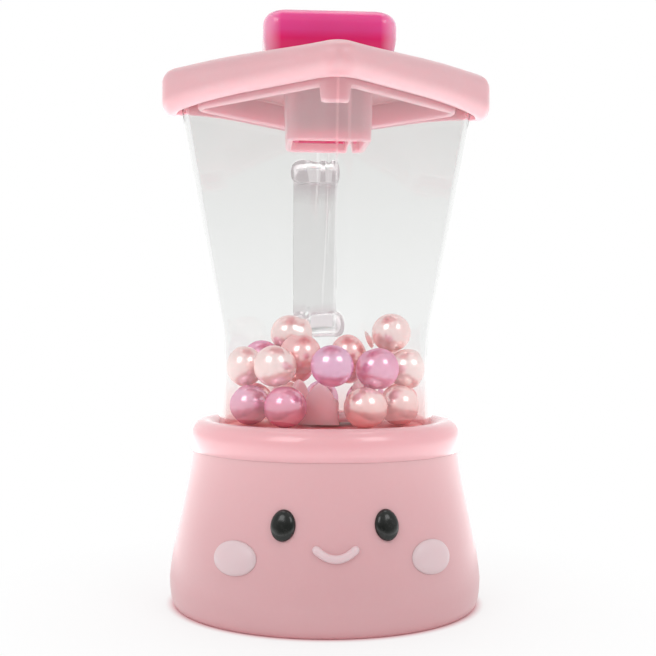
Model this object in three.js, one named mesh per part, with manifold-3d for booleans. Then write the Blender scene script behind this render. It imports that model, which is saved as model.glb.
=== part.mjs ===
// Toy blender: a round battery base, a clear jar of pearl beads over a blade rotor, a lid and a filler cap.
// Millimetres, +Z up. The origin is on the floor at the axis of the base; front is -Y, the handle is at +Y.

import * as THREE from 'three';
import { mergeVertices } from 'three/addons/utils/BufferGeometryUtils.js';
import Module from 'manifold-3d';

const wasm = await Module();
wasm.setup();

// Shared by the whole assembly
const gap = 0.3; // air between two pieces that sit on or in each other
const overrun = 1; // how far a cutter runs past the face that it cuts
const rootOverlap = 0.4; // how deep a boss or rib is rooted in the wall that carries it
const wideSides = 44; // sides of a large round piece
const midSides = 24; // sides of a middling round piece
const smallSides = 12; // sides of a pin or screw
const cornerSteps = 4; // steps round a small corner
const sweepCornerSteps = 3; // steps round a corner of a swept section
const bevelSteps = 2; // steps over a rounded edge

// Two cells, one above the other, in their box
const cellRadius = 5.25;
const cellLength = 43.5;
const cellButtonRadius = 1.9;
const cellButtonLength = 1;
const cellAir = 0.35;
const boxWall = 1.2;
const boxCentreY = 15.6;
const boxCasingAir = 0.7; // box to the inside of the casing
const boxSpringRoom = 2.8; // flat end of a cell to its contact plate
const contactThickness = 0.5;
const contactHalfWidth = 4.2;
const contactTabHalf = 0.9;
const contactTabLength = 2.4;
const springWire = 0.35;
const springRadius = 3.1;
const springTipShare = 0.5; // of the radius, at the cell
const springTurns = 2;
const springSteps = 8;
const springSides = 6;
const boxHalfWidth = cellRadius + cellAir;
const contactFace = (cellLength + cellButtonLength + gap + boxSpringRoom) / 2; // axis to a plate's face
const boxHalfLength = contactFace + contactThickness + gap; // inside

// Base casing, turned about the axis
const baseFootRoom = 5.125; // corner of the battery box to the lower edge
const baseFootRadius = Math.hypot(boxHalfLength, boxCentreY + boxHalfWidth) + baseFootRoom;
const baseFootLand = 1.3; // flat width of that edge
const baseBelly = 1.45; // how far the side swells past its lower edge
const baseBellyRadius = baseFootRadius + baseBelly;
const baseBellyHeight = 7;
const baseDeckTop = 38.3;
const baseWall = 2;
const baseDeckHoleRadius = 8.2;
const baseFlareShare = 0.5; // how much of the flare is eased, the rest is a straight cone
const baseFootSteps = 4;
const baseFlareSteps = 6;
const deckBottom = baseDeckTop - baseWall;

// Cover that closes the base from below
const coverThickness = 2.2;
const coverRadius = baseFootRadius - baseFootLand - gap;
const coverScrewInset = 9; // lower edge of the base to the middle of a screw
const coverScrewCircle = baseFootRadius - coverScrewInset;
const coverScrewDegrees = [90, 210, 330];
const coverBossRadius = 3.1;
const boxBottom = coverThickness + gap;
const lowerCellHeight = coverThickness + cellAir + cellRadius;
const upperCellHeight = lowerCellHeight + 2 * cellRadius + cellAir;

// Screws
const screwHeadRadius = 2.4;
const screwHeadHeight = 0.8;
const screwShankRadius = 1.1;
const screwShankLength = 8.4;
const screwRecess = 0.4; // head below the face
const screwSlotWidth = 0.7;
const screwSlotDepth = 0.4;
const screwSlotLength = 3.2;

// Jar: rounded square with its corners on the X and Y axes
const jarWall = 1.6;
const jarCollarReach = 27.1; // axis to corner, below the bend
const jarCollarCorner = 16;
const jarCollarHeight = 20.9; // lower edge to where the wall starts to bend outwards
const jarTopCorner = 5;
const jarCornerFade = 13; // height over which the corners tighten
const jarKinkBlend = 4.6; // half the height of the bend
const jarTaperShare = 0.169; // growth of the reach for each unit of height
const jarFlareHeight = 63; // middle of the bend to the rim
const jarSectionSteps = 5;
const jarBendSteps = 3;
const jarFlareShares = [0.15, 0.35, 1]; // levels of the wall above the bend

// Rolled rim ring on the shoulder of the base, and the jar's socket inside it
const ringLip = 3.5; // socket to crown
const ringRoll = 3.3; // crown to the widest line
const ringOverhang = 0.8; // widest line past the neck of the base
const ringHeight = 7.3; // bottom to crown
const ringWaistRise = 3.2; // bottom to the widest line
const ringUndercut = 0.9;
const ringLedgeDrop = 2.8; // crown to the edge round the jar
const ringArcSteps = 4;
const ringBottom = baseDeckTop + gap;
const ringCrownRadius = jarCollarReach + gap + ringLip;
const ringOuterRadius = ringCrownRadius + ringRoll;
const ringCrownTop = ringBottom + ringHeight;
const ringWaistHeight = ringBottom + ringWaistRise;
const ringLedgeHeight = ringCrownTop - ringLedgeDrop;
const baseNeckRadius = ringOuterRadius - ringOverhang;

// Floor of the jar, which plugs it from below
const floorFlangeThickness = 2.2;
const floorPlugRise = 3.4; // jar's lower edge to the floor's upper face
const floorPlate = 2.2;
const floorWall = 1.95;
const floorFlangeBottom = baseDeckTop + gap;
const jarBottom = floorFlangeBottom + floorFlangeThickness + gap;
const floorTop = jarBottom + floorPlugRise;
const jarCollarTop = jarBottom + jarCollarHeight;
const jarKinkHeight = jarCollarTop + jarKinkBlend;
const jarRimHeight = jarKinkHeight + jarFlareHeight;

// Handle behind the jar's rear corner
const handleWidth = 14;
const handleThickness = 5;
const handleCorner = 2.1;
const handleDrop = 14; // rim of the jar to the top of the handle
const handleHeight = 48;
const handleTopReach = 48.6;
const handleBottomReach = 44.4;
const handleBend = 6.4;
const handleBendShare = 0.3; // how far the middle of a bend stays inside its corner
const handleSteps = 18;

// Lid
const lidReach = 41.7;
const lidCorner = 5.5;
const lidHeight = 8.2; // at the front and rear corners
const lidEarRise = 1.5; // side corners above the front one, for the thumbs
const lidEarDrop = 2; // and below it
const lidRiseEndShare = 0.75; // of the way to a side corner, where its full rise is reached
const lidDropStartShare = 0.55; // of the way to a side corner, where its drop starts
const lidEdge = 3.6; // height of the rounding above and below the band
const lidUnderWidth = 2.4; // how far the lower rounding draws in, short of the groove
const lidRim = 8.7; // width of the sloping edge round the flat top
const lidCornerSteps = 6;
const lidSideSteps = 8;
const lidPlate = 2.4;
const lidRimAir = 0.4; // rim of the jar to the underside of the lid's plate
const lidTop = jarRimHeight + lidRimAir + lidPlate;
const lidBottom = lidTop - lidHeight;
const lidSkirtReach = 32.2;
const lidSkirtCorner = 5;
const lidSkirtWall = 1.6;
const lidSkirtDrop = 0.6; // skirt below the band
const lidTabHalf = 3.4; // tab at the skirt's front and rear corner
const lidTabDrop = 3.7;
const socketTopHalf = 10.35;
const socketBottomHalf = 9.9;
const socketCorner = 3;
const socketWall = 1.5;
const socketLength = 17.4;
const socketBottom = lidTop - socketLength;

// Filler cap in the lid's socket
const capHalfX = 16.5;
const capHalfY = 13;
const capCorner = 4.6;
const capHeight = 14.3;
const capTopRound = 3.8;
const capCornerShare = 0.5; // how much of the shrink of an outline its corners take
const capFootInset = 1.3;
const capFootHeight = 7.5;
const capWall = 2.2;
const capPlugWall = 1.5;
const capPlugLength = 15.6;
const capTubeCorner = 0.3;
const capRoundSteps = 3;
const capBottom = lidTop + gap;
const capTop = capBottom + capHeight;

// Bush in the jar floor
const bushRadius = 2.6;
const bushFlangeRadius = 3.9;
const bushFlangeThickness = 0.6;
const runningGap = 0.15;

// Blade rotor in the jar
const rotorBottom = floorTop + 2 * gap + bushFlangeThickness;
const rotorDiscThickness = 1.2;
const rotorHubRadius = 3.4;
const rotorHubHeight = 5.2;
const rotorShaftRadius = 1;
const rotorShaftRise = 3.7; // into the hub
const rotorShaftTop = rotorBottom + rotorShaftRise;
const finCount = 3;
const finTurnDegrees = -12.6; // the first fin from the front
const finHalfWidth = 4.85;
const finHeight = 10.45;
const finThickness = 2.2;
const finRadius = 9.3; // axis to the middle of a fin, and to the edge of the disc that carries it
const finFloorAir = 0.6;
const finEdge = 0.7;
const finCurveShares = [0.97, 0.75]; // the outline's control point, of the half width and the height
const finCurveSteps = 7;

// Dog clutch between the motor and the rotor
const dogCount = 3;
const dogSpanDegrees = 40;
const dogInnerRadius = 3.2;
const dogOuterRadius = 7.2;
const dogHubRadius = 7.4;
const dogHeight = 3.1;
const driveDiscThickness = 2.9;
const drivenDiscThickness = 1.8;
const drivenDiscTop = floorTop - floorPlate - gap;
const drivenDiscBottom = drivenDiscTop - drivenDiscThickness;
const driveDiscTop = drivenDiscBottom - dogHeight - gap;
const driveDiscBottom = driveDiscTop - driveDiscThickness;

// Motor
const motorRadius = 10;
const motorHalfThickness = 7.5;
const motorStandoff = 5.6; // cover to the can
const motorHang = 4.5; // can to the deck of the base
const motorBottom = coverThickness + motorStandoff;
const motorTop = deckBottom - motorHang;
const motorBossRadius = 3;
const motorBossHeight = 1.2;
const motorShaftRadius = 1;
const motorShaftInside = 4;
const mountWall = 1;
const mountHeight = 19.3;
const mountPlate = 1.2;
const mountTop = motorTop + gap + mountPlate;
const mountEarHalf = 19;
const mountEarHalfWidth = 3.4;
const pegPlace = 15.8;
const pegRadius = 1.2;
const pegBossRadius = 2.6;
const pegHeadRadius = 2.1;
const pegHeadHeight = 0.9;
const motorCradleRadius = 5;

// Battery door in the cover
const doorThickness = 1.8;
const doorCorner = 2;
const doorTongueInset = 9.1; // end of the box to the door's screw
const doorTongueX = boxHalfLength - doorTongueInset;
const doorTongueY = 5.3;
const doorTongueHalf = 3.2;
const doorBossHeight = 9;

// Slide switch under the base
const switchY = -21;
const switchHalfX = 7;
const switchHalfY = 3.6;
const switchHeight = 5.2;
const switchKnobHalfX = 2.6;
const switchKnobHalfY = 1.9;
const switchRecess = 0.5;
const switchStemHalf = 1.1;
const switchKnobCorner = 0.3;
const switchStemRise = 2.4; // above the cover
const switchStemTop = coverThickness + switchStemRise;
const switchTravel = 4;

// Leads
const leadRadius = 0.6;
const leadSides = 8;
const leadSteps = 14;

// Beads
const beadRadius = 5;
const beadAir = 0.2;
const beadSides = 12;
const beadRings = 7;

// Face pieces on the front of the base
const faceSink = 0.3;
const faceSides = 16;
const faceRings = 10;
const eyeHalfWidth = 2.9;
const eyeHalfHeight = 3.5;
const eyeProud = 1.3;
const eyeHeight = 24.6;
const eyeTurnDegrees = 19; // from the front
const cheekHalfWidth = 6;
const cheekHalfHeight = 3.9;
const cheekProud = 1;
const cheekHeight = 16.6;
const cheekTurnDegrees = 37;
const smileHalfWidth = 5;
const smileDrop = 2.6;
const smileHeight = 20.2;
const smileRadius = 0.95;
const smileSteps = 10;

// Colours and finishes
const paleRose = { color: 0xe6b4b8, roughness: 0.3, metalness: 0 };
const softPink = { color: 0xdba3a9, roughness: 0.34, metalness: 0 };
const lidPink = { color: 0xeab2b5, roughness: 0.28, metalness: 0 };
const clear = { color: 0xe9ecec, roughness: 0.05, metalness: 0, transparent: true, opacity: 0.3 };
const magenta = { color: 0xd64482, roughness: 0.15, metalness: 0 };
const bladePink = { color: 0xd38a91, roughness: 0.4, metalness: 0 };
const black = { color: 0x141714, roughness: 0.2, metalness: 0 };
const cream = { color: 0xebcbcf, roughness: 0.3, metalness: 0 };
const darkPlastic = { color: 0x2b2d30, roughness: 0.5, metalness: 0 };
const whitePlastic = { color: 0xe4e2df, roughness: 0.45, metalness: 0 };
const steel = { color: 0xb9bcc0, roughness: 0.3, metalness: 1 };
const brass = { color: 0xc9a55c, roughness: 0.35, metalness: 1 };
const redWire = { color: 0xb3262a, roughness: 0.5, metalness: 0 };
const blackWire = { color: 0x222222, roughness: 0.5, metalness: 0 };
const cellGreen = { color: 0x3c6e57, roughness: 0.35, metalness: 0.2 };
const pearlPale = { color: 0xf0cfd0, roughness: 0.22, metalness: 0.1 };
const pearlRose = { color: 0xe59aa6, roughness: 0.22, metalness: 0.1 };
const pearlLilac = { color: 0xd3a6cf, roughness: 0.22, metalness: 0.1 };
const pearlMagenta = { color: 0xcf7bb0, roughness: 0.22, metalness: 0.1 };

const radians = THREE.MathUtils.degToRad;

// Solids

function volumeOf(positions, indices) {
  const a = new THREE.Vector3();
  const b = new THREE.Vector3();
  const c = new THREE.Vector3();
  let sum = 0;
  for (let i = 0; i < indices.length; i += 3) {
    a.fromArray(positions, 3 * indices[i]);
    b.fromArray(positions, 3 * indices[i + 1]);
    c.fromArray(positions, 3 * indices[i + 2]);
    sum += a.dot(b.cross(c));
  }
  return sum;
}

// A closed geometry as a solid, with shared corners merged and its faces pointing out.
function solidOf(geometry) {
  const bare = geometry.clone();
  for (const name of Object.keys(bare.attributes)) {
    if (name !== 'position') bare.deleteAttribute(name);
  }
  const merged = mergeVertices(bare);
  const positions = new Float32Array(merged.attributes.position.array);
  const kept = [];
  for (let i = 0; i < merged.index.count; i += 3) {
    const [a, b, c] = [0, 1, 2].map((k) => merged.index.getX(i + k));
    if (a !== b && b !== c && c !== a) kept.push(a, b, c);
  }
  if (volumeOf(positions, kept) < 0) kept.reverse();
  const triVerts = new Uint32Array(kept);
  return new wasm.Manifold(new wasm.Mesh({ numProp: 3, vertProperties: positions, triVerts }));
}

function geometryOf(solid) {
  const { vertProperties, triVerts, numProp } = solid.getMesh();
  const positions = new Float32Array(3 * triVerts.length);
  triVerts.forEach((vertex, i) => {
    for (let k = 0; k < 3; k += 1) positions[3 * i + k] = vertProperties[numProp * vertex + k];
  });
  const geometry = new THREE.BufferGeometry();
  geometry.setAttribute('position', new THREE.BufferAttribute(positions, 3));
  geometry.computeVertexNormals();
  return geometry;
}

function joined(...solids) {
  return solids.reduce((sum, solid) => sum.add(solid));
}

function cut(solid, ...cutters) {
  return cutters.reduce((rest, cutter) => rest.subtract(cutter), solid);
}

// A closed outline of [radius, height] points turned about Z.
function turned(outline, sides = wideSides) {
  const points = [...outline, outline[0]].map(([radius, height]) => new THREE.Vector2(radius, height));
  return solidOf(new THREE.LatheGeometry(points, sides).rotateX(Math.PI / 2));
}

function disc(radius, bottom, top, sides = midSides, x = 0, y = 0) {
  const geometry = new THREE.CylinderGeometry(radius, radius, top - bottom, sides);
  geometry.rotateX(Math.PI / 2).translate(x, y, (bottom + top) / 2);
  return solidOf(geometry);
}

function block([x0, x1], [y0, y1], [z0, z1]) {
  const geometry = new THREE.BoxGeometry(x1 - x0, y1 - y0, z1 - z0);
  geometry.translate((x0 + x1) / 2, (y0 + y1) / 2, (z0 + z1) / 2);
  return solidOf(geometry);
}

function roundedRectangle(halfX, halfY, corner) {
  const shape = new THREE.Shape();
  shape.absarc(halfX - corner, halfY - corner, corner, 0, Math.PI / 2);
  shape.absarc(corner - halfX, halfY - corner, corner, Math.PI / 2, Math.PI);
  shape.absarc(corner - halfX, corner - halfY, corner, Math.PI, 1.5 * Math.PI);
  shape.absarc(halfX - corner, corner - halfY, corner, 1.5 * Math.PI, 2 * Math.PI);
  shape.closePath();
  return shape;
}

// A shape raised along Z between two heights, its edges rounded by edge.
function raised(shape, bottom, top, edge = 0, arcSteps = cornerSteps, edgeSteps = bevelSteps) {
  const geometry = new THREE.ExtrudeGeometry(shape, {
    depth: top - bottom - 2 * edge,
    steps: 1,
    curveSegments: arcSteps,
    bevelEnabled: edge > 0,
    bevelThickness: edge,
    bevelSize: edge,
    bevelOffset: -edge,
    bevelSegments: edgeSteps,
  });
  return solidOf(geometry.translate(0, 0, bottom + edge));
}

// Half side of a rounded square whose corners reach a given distance from the axis.
function flatOf(reach, corner) {
  return (reach - corner) / Math.SQRT2 + corner;
}

// A rounded square standing on one corner, raised along Z.
function diamond(reach, corner, bottom, top, edge = 0, arcSteps = jarSectionSteps) {
  const flat = flatOf(reach, corner);
  return raised(roundedRectangle(flat, flat, corner), bottom, top, edge, arcSteps).rotate([0, 0, 45]);
}

// One level of a loft: a rounded rectangle with the same number of points at every level.
function level(halfX, halfY, corner, height, turn = 0, steps = jarSectionSteps) {
  const ring = [];
  for (let quarter = 0; quarter < 4; quarter += 1) {
    const signX = quarter === 0 || quarter === 3 ? 1 : -1;
    const signY = quarter < 2 ? 1 : -1;
    for (let step = 0; step <= steps; step += 1) {
      const angle = ((quarter + step / steps) * Math.PI) / 2;
      const point = new THREE.Vector3(
        signX * (halfX - corner) + corner * Math.cos(angle),
        signY * (halfY - corner) + corner * Math.sin(angle),
        height,
      );
      ring.push(point.applyAxisAngle(new THREE.Vector3(0, 0, 1), turn));
    }
  }
  return ring;
}

// A skin over levels that all have the same number of points, closed by a fan at each end.
function lofted(levels) {
  const count = levels[0].length;
  const points = levels.flat();
  const faces = [];
  for (let row = 0; row + 1 < levels.length; row += 1) {
    for (let i = 0; i < count; i += 1) {
      const a = row * count + i;
      const b = row * count + ((i + 1) % count);
      faces.push(a, b, b + count, a, b + count, a + count);
    }
  }
  for (const [first, ring] of [[0, levels[0]], [points.length - count, levels[levels.length - 1]]]) {
    const centre = ring.reduce((sum, point) => sum.add(point), new THREE.Vector3()).divideScalar(count);
    const middle = points.push(centre) - 1;
    for (let i = 0; i < count; i += 1) {
      const next = first + ((i + 1) % count);
      if (first === 0) faces.push(middle, next, first + i);
      else faces.push(middle, first + i, next);
    }
  }
  const geometry = new THREE.BufferGeometry().setFromPoints(points);
  geometry.setIndex(faces);
  return solidOf(geometry);
}

function swept(section, curve, steps, arcSteps = sweepCornerSteps) {
  const options = { extrudePath: curve, steps, curveSegments: arcSteps, bevelEnabled: false };
  return solidOf(new THREE.ExtrudeGeometry(section, options));
}

function roundSection(radius, sides) {
  const shape = new THREE.Shape();
  for (let i = 0; i < sides; i += 1) {
    const angle = (2 * Math.PI * i) / sides;
    const [x, y] = [radius * Math.cos(angle), radius * Math.sin(angle)];
    if (i === 0) shape.moveTo(x, y);
    else shape.lineTo(x, y);
  }
  shape.closePath();
  return shape;
}

// Base casing

function baseRadius(height) {
  if (height < baseBellyHeight) {
    const rise = 1 - height / baseBellyHeight;
    return baseFootRadius + (baseBellyRadius - baseFootRadius) * Math.sqrt(1 - rise * rise);
  }
  const down = (baseDeckTop - height) / (baseDeckTop - baseBellyHeight);
  const eased = down * down * (3 - 2 * down);
  const flare = baseFlareShare * eased + (1 - baseFlareShare) * down;
  return baseNeckRadius + (baseBellyRadius - baseNeckRadius) * flare;
}

// Outline of the casing's side from one height to the other, moved out by offset.
function baseSide(lowest, highest, offset) {
  const side = [];
  for (let step = 0; step < baseFootSteps; step += 1) {
    const angle = (step / baseFootSteps) * (Math.PI / 2);
    const height = baseBellyHeight * (1 - Math.cos(angle));
    if (height > lowest) side.push([baseRadius(height) + offset, height]);
  }
  for (let step = 0; step < baseFlareSteps; step += 1) {
    const height = THREE.MathUtils.lerp(baseBellyHeight, highest, step / baseFlareSteps);
    side.push([baseRadius(height) + offset, height]);
  }
  side.push([baseRadius(highest) + offset, highest]);
  return side;
}

function polar(radius, degrees) {
  return [radius * Math.cos(radians(degrees)), radius * Math.sin(radians(degrees))];
}

function baseShell() {
  const seatRadius = baseFootRadius - baseFootLand;
  const innerSide = baseSide(coverThickness + gap, deckBottom, -baseWall).reverse();
  const shell = turned([
    [seatRadius, 0],
    [baseFootRadius, 0],
    ...baseSide(0, baseDeckTop, 0),
    [baseDeckHoleRadius, baseDeckTop],
    [baseDeckHoleRadius, deckBottom],
    ...innerSide,
    [seatRadius, coverThickness + gap],
  ]);
  const bosses = coverScrewDegrees.map((angle) => {
    const [x, y] = polar(coverScrewCircle, angle);
    return disc(coverBossRadius, coverThickness + gap, deckBottom + rootOverlap, smallSides, x, y);
  });
  const pilots = coverScrewDegrees.map((angle) => {
    const [x, y] = polar(coverScrewCircle, angle);
    return disc(screwShankRadius + gap, 0, screwShankLength + screwHeadHeight + overrun, smallSides, x, y);
  });
  const pegs = [-pegPlace, pegPlace].map((x) => joined(
    disc(pegBossRadius, mountTop + gap, deckBottom + rootOverlap, smallSides, x),
    disc(pegRadius, motorTop - gap, mountTop + gap + rootOverlap, smallSides, x),
    disc(pegHeadRadius, motorTop - gap - pegHeadHeight, motorTop, smallSides, x),
  ));
  return joined(cut(joined(shell, ...bosses), ...pilots), ...pegs);
}

function rimRing() {
  const insideSocket = jarCollarCorner; // the socket is wider than this all round
  const outline = [[insideSocket, ringBottom], [ringOuterRadius - ringUndercut, ringBottom]];
  for (let step = 1; step <= ringArcSteps; step += 1) {
    const angle = (step / ringArcSteps) * (Math.PI / 2);
    outline.push([
      ringOuterRadius - ringUndercut * (1 - Math.sin(angle)),
      ringWaistHeight - ringWaistRise * Math.cos(angle),
    ]);
  }
  for (let step = 1; step <= ringArcSteps; step += 1) {
    const angle = (step / ringArcSteps) * (Math.PI / 2);
    outline.push([
      ringCrownRadius + ringRoll * Math.cos(angle),
      ringWaistHeight + (ringCrownTop - ringWaistHeight) * Math.sin(angle),
    ]);
  }
  for (let step = 1; step <= ringArcSteps; step += 1) {
    const angle = (step / ringArcSteps) * (Math.PI / 2);
    outline.push([
      ringCrownRadius - ringLip * Math.sin(angle),
      ringLedgeHeight + ringLedgeDrop * Math.cos(angle),
    ]);
  }
  outline.push([insideSocket, ringLedgeHeight]);
  const socket = diamond(jarCollarReach + gap, jarCollarCorner + gap, 0, ringCrownTop + overrun);
  return cut(turned(outline), socket);
}

// Outline of the door, or of its opening when grown by the gap: a rounded plate with a tongue for its screw.
function doorBody(grow, bottom, top) {
  const corner = doorCorner + grow;
  const plate = roundedRectangle(boxHalfLength + grow - boxWall, boxHalfWidth + grow, corner);
  const tongueFront = doorTongueY - doorTongueHalf - grow;
  const tongueHalfLength = (boxCentreY - tongueFront) / 2;
  const tongue = roundedRectangle(doorTongueHalf + grow, tongueHalfLength, corner);
  return joined(
    raised(plate, bottom, top).translate([0, boxCentreY, 0]),
    raised(tongue, bottom, top).translate([doorTongueX, boxCentreY - tongueHalfLength, 0]),
  );
}

function screwSeat(x, y) {
  return joined(
    disc(screwShankRadius + gap, -overrun, coverThickness + overrun, smallSides, x, y),
    disc(screwHeadRadius + gap, -overrun, screwRecess + screwHeadHeight + gap, smallSides, x, y),
  );
}

function bottomCover() {
  const plate = disc(coverRadius, 0, coverThickness, wideSides);
  const cradle = cut(
    disc(motorCradleRadius, coverThickness - rootOverlap, motorBottom - gap, midSides),
    disc(motorBossRadius + gap, motorBottom - motorBossHeight - gap, motorBottom + overrun, midSides),
  );
  const seats = coverScrewDegrees.map((angle) => screwSeat(...polar(coverScrewCircle, angle)));
  const slotHalf = switchKnobHalfX + switchTravel / 2 + gap;
  const slot = block(
    [-slotHalf, slotHalf],
    [switchY - switchKnobHalfY - gap, switchY + switchKnobHalfY + gap],
    [-overrun, coverThickness + overrun],
  );
  const doorway = doorBody(gap, -overrun, coverThickness + overrun);
  return joined(cut(plate, ...seats, slot, doorway), cradle);
}

function screw(x, y) {
  const underHead = screwRecess + screwHeadHeight;
  const body = joined(
    disc(screwHeadRadius, screwRecess, underHead, smallSides),
    disc(screwShankRadius, underHead - screwSlotDepth, underHead + screwShankLength, smallSides),
  );
  const half = screwSlotLength / 2;
  const depth = [0, screwRecess + screwSlotDepth];
  const slots = joined(
    block([-half, half], [-screwSlotWidth / 2, screwSlotWidth / 2], depth),
    block([-screwSlotWidth / 2, screwSlotWidth / 2], [-half, half], depth),
  );
  return cut(body, slots).translate([x, y, 0]);
}

// Battery box, cells and contacts

function batteryBox() {
  const outerX = boxHalfLength + boxWall;
  const outerY = boxHalfWidth + boxWall;
  const innerTop = upperCellHeight + cellRadius + cellAir;
  const outer = block(
    [-outerX, outerX],
    [boxCentreY - outerY, boxCentreY + outerY],
    [boxBottom, innerTop + boxWall],
  );
  const inner = block(
    [-boxHalfLength, boxHalfLength],
    [boxCentreY - boxHalfWidth, boxCentreY + boxHalfWidth],
    [boxBottom - overrun, innerTop],
  );
  const roomTop = innerTop + boxWall + overrun;
  const casingRoom = turned([
    [0, 0],
    ...baseSide(0, roomTop, -baseWall - boxCasingAir),
    [0, roomTop],
  ]);
  const slits = [lowerCellHeight, upperCellHeight].map((height) => block(
    [boxHalfLength - overrun, outerX + overrun],
    [boxCentreY - contactTabHalf - gap, boxCentreY + contactTabHalf + gap],
    [height - contactThickness / 2 - gap, height + contactThickness / 2 + gap],
  ));
  const ear = block(
    [doorTongueX - doorTongueHalf, doorTongueX + doorTongueHalf],
    [doorTongueY - doorTongueHalf, boxCentreY - outerY + rootOverlap],
    [boxBottom, doorBossHeight + boxBottom],
  );
  const pilotRadius = screwShankRadius + gap;
  const pilot = disc(pilotRadius, 0, doorBossHeight + overrun, smallSides, doorTongueX, doorTongueY);
  return cut(joined(cut(outer.intersect(casingRoom), inner), ear), pilot, ...slits);
}

// A cell lying along X with its button towards sign; the spring takes up the slack at the other end.
function cell(sign, height) {
  const face = contactFace - gap;
  const outline = [
    [0, face - cellButtonLength - cellLength],
    [cellRadius, face - cellButtonLength - cellLength],
    [cellRadius, face - cellButtonLength],
    [cellButtonRadius, face - cellButtonLength],
    [cellButtonRadius, face],
    [0, face],
  ];
  return turned(outline, midSides).rotate([0, sign * 90, 0]).translate([0, boxCentreY, height]);
}

// A contact plate standing at the box's +X end, between two heights.
function contactPlate(lowest, highest) {
  return block(
    [contactFace, contactFace + contactThickness],
    [boxCentreY - contactHalfWidth, boxCentreY + contactHalfWidth],
    [lowest, highest],
  );
}

function terminal(height) {
  const plate = contactPlate(height - contactHalfWidth, height + contactHalfWidth);
  const tab = block(
    [contactFace, boxHalfLength + boxWall + contactTabLength / 2],
    [boxCentreY - contactTabHalf, boxCentreY + contactTabHalf],
    [height - contactThickness / 2, height + contactThickness / 2],
  );
  return joined(plate, tab);
}

function bridgeContact() {
  const plate = contactPlate(lowerCellHeight - contactHalfWidth, upperCellHeight + contactHalfWidth);
  return plate.rotate([0, 0, 180]).translate([0, 2 * boxCentreY, 0]);
}

// A conical contact spring between a plate and a cell's flat end.
function cellSpring(sign, height) {
  const cellFace = cellButtonLength + cellLength - (contactFace - gap);
  const start = contactFace - gap - springWire;
  const end = cellFace + gap + springWire;
  const points = [];
  const count = springTurns * springSteps;
  for (let i = 0; i <= count; i += 1) {
    const share = i / count;
    const radius = springRadius * THREE.MathUtils.lerp(1, springTipShare, share);
    const angle = 2 * Math.PI * springTurns * share;
    points.push(new THREE.Vector3(
      THREE.MathUtils.lerp(start, end, share),
      radius * Math.cos(angle),
      radius * Math.sin(angle),
    ));
  }
  const curve = new THREE.CatmullRomCurve3(points);
  const spring = swept(roundSection(springWire, springSides), curve, count);
  return spring.rotate([0, 0, sign > 0 ? 0 : 180]).translate([0, boxCentreY, height]);
}

// Motor, its mount and the dog clutch

function motorCan() {
  const can = disc(motorRadius, motorBottom, motorTop).intersect(block(
    [-motorRadius - overrun, motorRadius + overrun],
    [-motorHalfThickness, motorHalfThickness],
    [motorBottom - overrun, motorTop + overrun],
  ));
  const boss = disc(motorBossRadius, motorBottom - motorBossHeight, motorTop + motorBossHeight, smallSides);
  const well = disc(
    motorShaftRadius + gap,
    motorTop - motorShaftInside - gap,
    motorTop + motorBossHeight + overrun,
    smallSides,
  );
  return cut(joined(can, boss), well);
}

function motorMount() {
  const innerX = motorRadius + gap;
  const innerY = motorHalfThickness + gap / 2;
  const mountBottom = mountTop - mountHeight;
  const sleeve = block(
    [-innerX - mountWall, innerX + mountWall],
    [-innerY - mountWall, innerY + mountWall],
    [mountBottom, mountTop],
  );
  const ears = block(
    [-mountEarHalf, mountEarHalf],
    [-mountEarHalfWidth, mountEarHalfWidth],
    [motorTop + gap, mountTop],
  );
  const room = block([-innerX, innerX], [-innerY, innerY], [mountBottom - overrun, motorTop + gap]);
  const neck = disc(motorBossRadius + gap, motorTop, mountTop + overrun, smallSides);
  const pegHoles = [-pegPlace, pegPlace].map((x) => (
    disc(pegRadius + gap, motorTop, mountTop + overrun, smallSides, x)
  ));
  return cut(joined(sleeve, ears), room, neck, ...pegHoles);
}

function motorShaft() {
  return disc(motorShaftRadius, motorTop - motorShaftInside, driveDiscTop - 2 * gap, smallSides);
}

// Sectors standing between two heights, the first one centred on a given direction.
function dogs(bottom, top, firstAngle) {
  const solids = [];
  for (let i = 0; i < dogCount; i += 1) {
    const from = radians(firstAngle + (360 * i) / dogCount - dogSpanDegrees / 2);
    const to = from + radians(dogSpanDegrees);
    const sector = new THREE.Shape();
    sector.absarc(0, 0, dogOuterRadius, from, to, false);
    sector.absarc(0, 0, dogInnerRadius, to, from, true);
    sector.closePath();
    solids.push(raised(sector, bottom, top));
  }
  return solids;
}

function driveDog() {
  const plate = disc(dogHubRadius, driveDiscBottom, driveDiscTop);
  const bore = disc(motorShaftRadius + gap, driveDiscBottom - overrun, driveDiscTop - gap, smallSides);
  return joined(cut(plate, bore), ...dogs(driveDiscTop - rootOverlap, driveDiscTop + dogHeight, 0));
}

function drivenDog() {
  const plate = disc(dogHubRadius, drivenDiscBottom, drivenDiscTop);
  const bore = disc(rotorShaftRadius + gap, drivenDiscBottom + gap, drivenDiscTop + overrun, smallSides);
  const half = 180 / dogCount;
  const lugs = dogs(drivenDiscBottom - dogHeight, drivenDiscBottom + rootOverlap, half);
  return joined(cut(plate, bore), ...lugs);
}

// Slide switch

function switchBody() {
  const bottom = coverThickness + gap;
  const body = block(
    [-switchHalfX, switchHalfX],
    [switchY - switchHalfY, switchY + switchHalfY],
    [bottom, bottom + switchHeight],
  );
  const wayHalf = switchStemHalf + switchTravel / 2 + gap;
  const way = block(
    [-wayHalf, wayHalf],
    [switchY - switchStemHalf - gap, switchY + switchStemHalf + gap],
    [bottom - overrun, switchStemTop + gap],
  );
  return cut(body, way);
}

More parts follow.
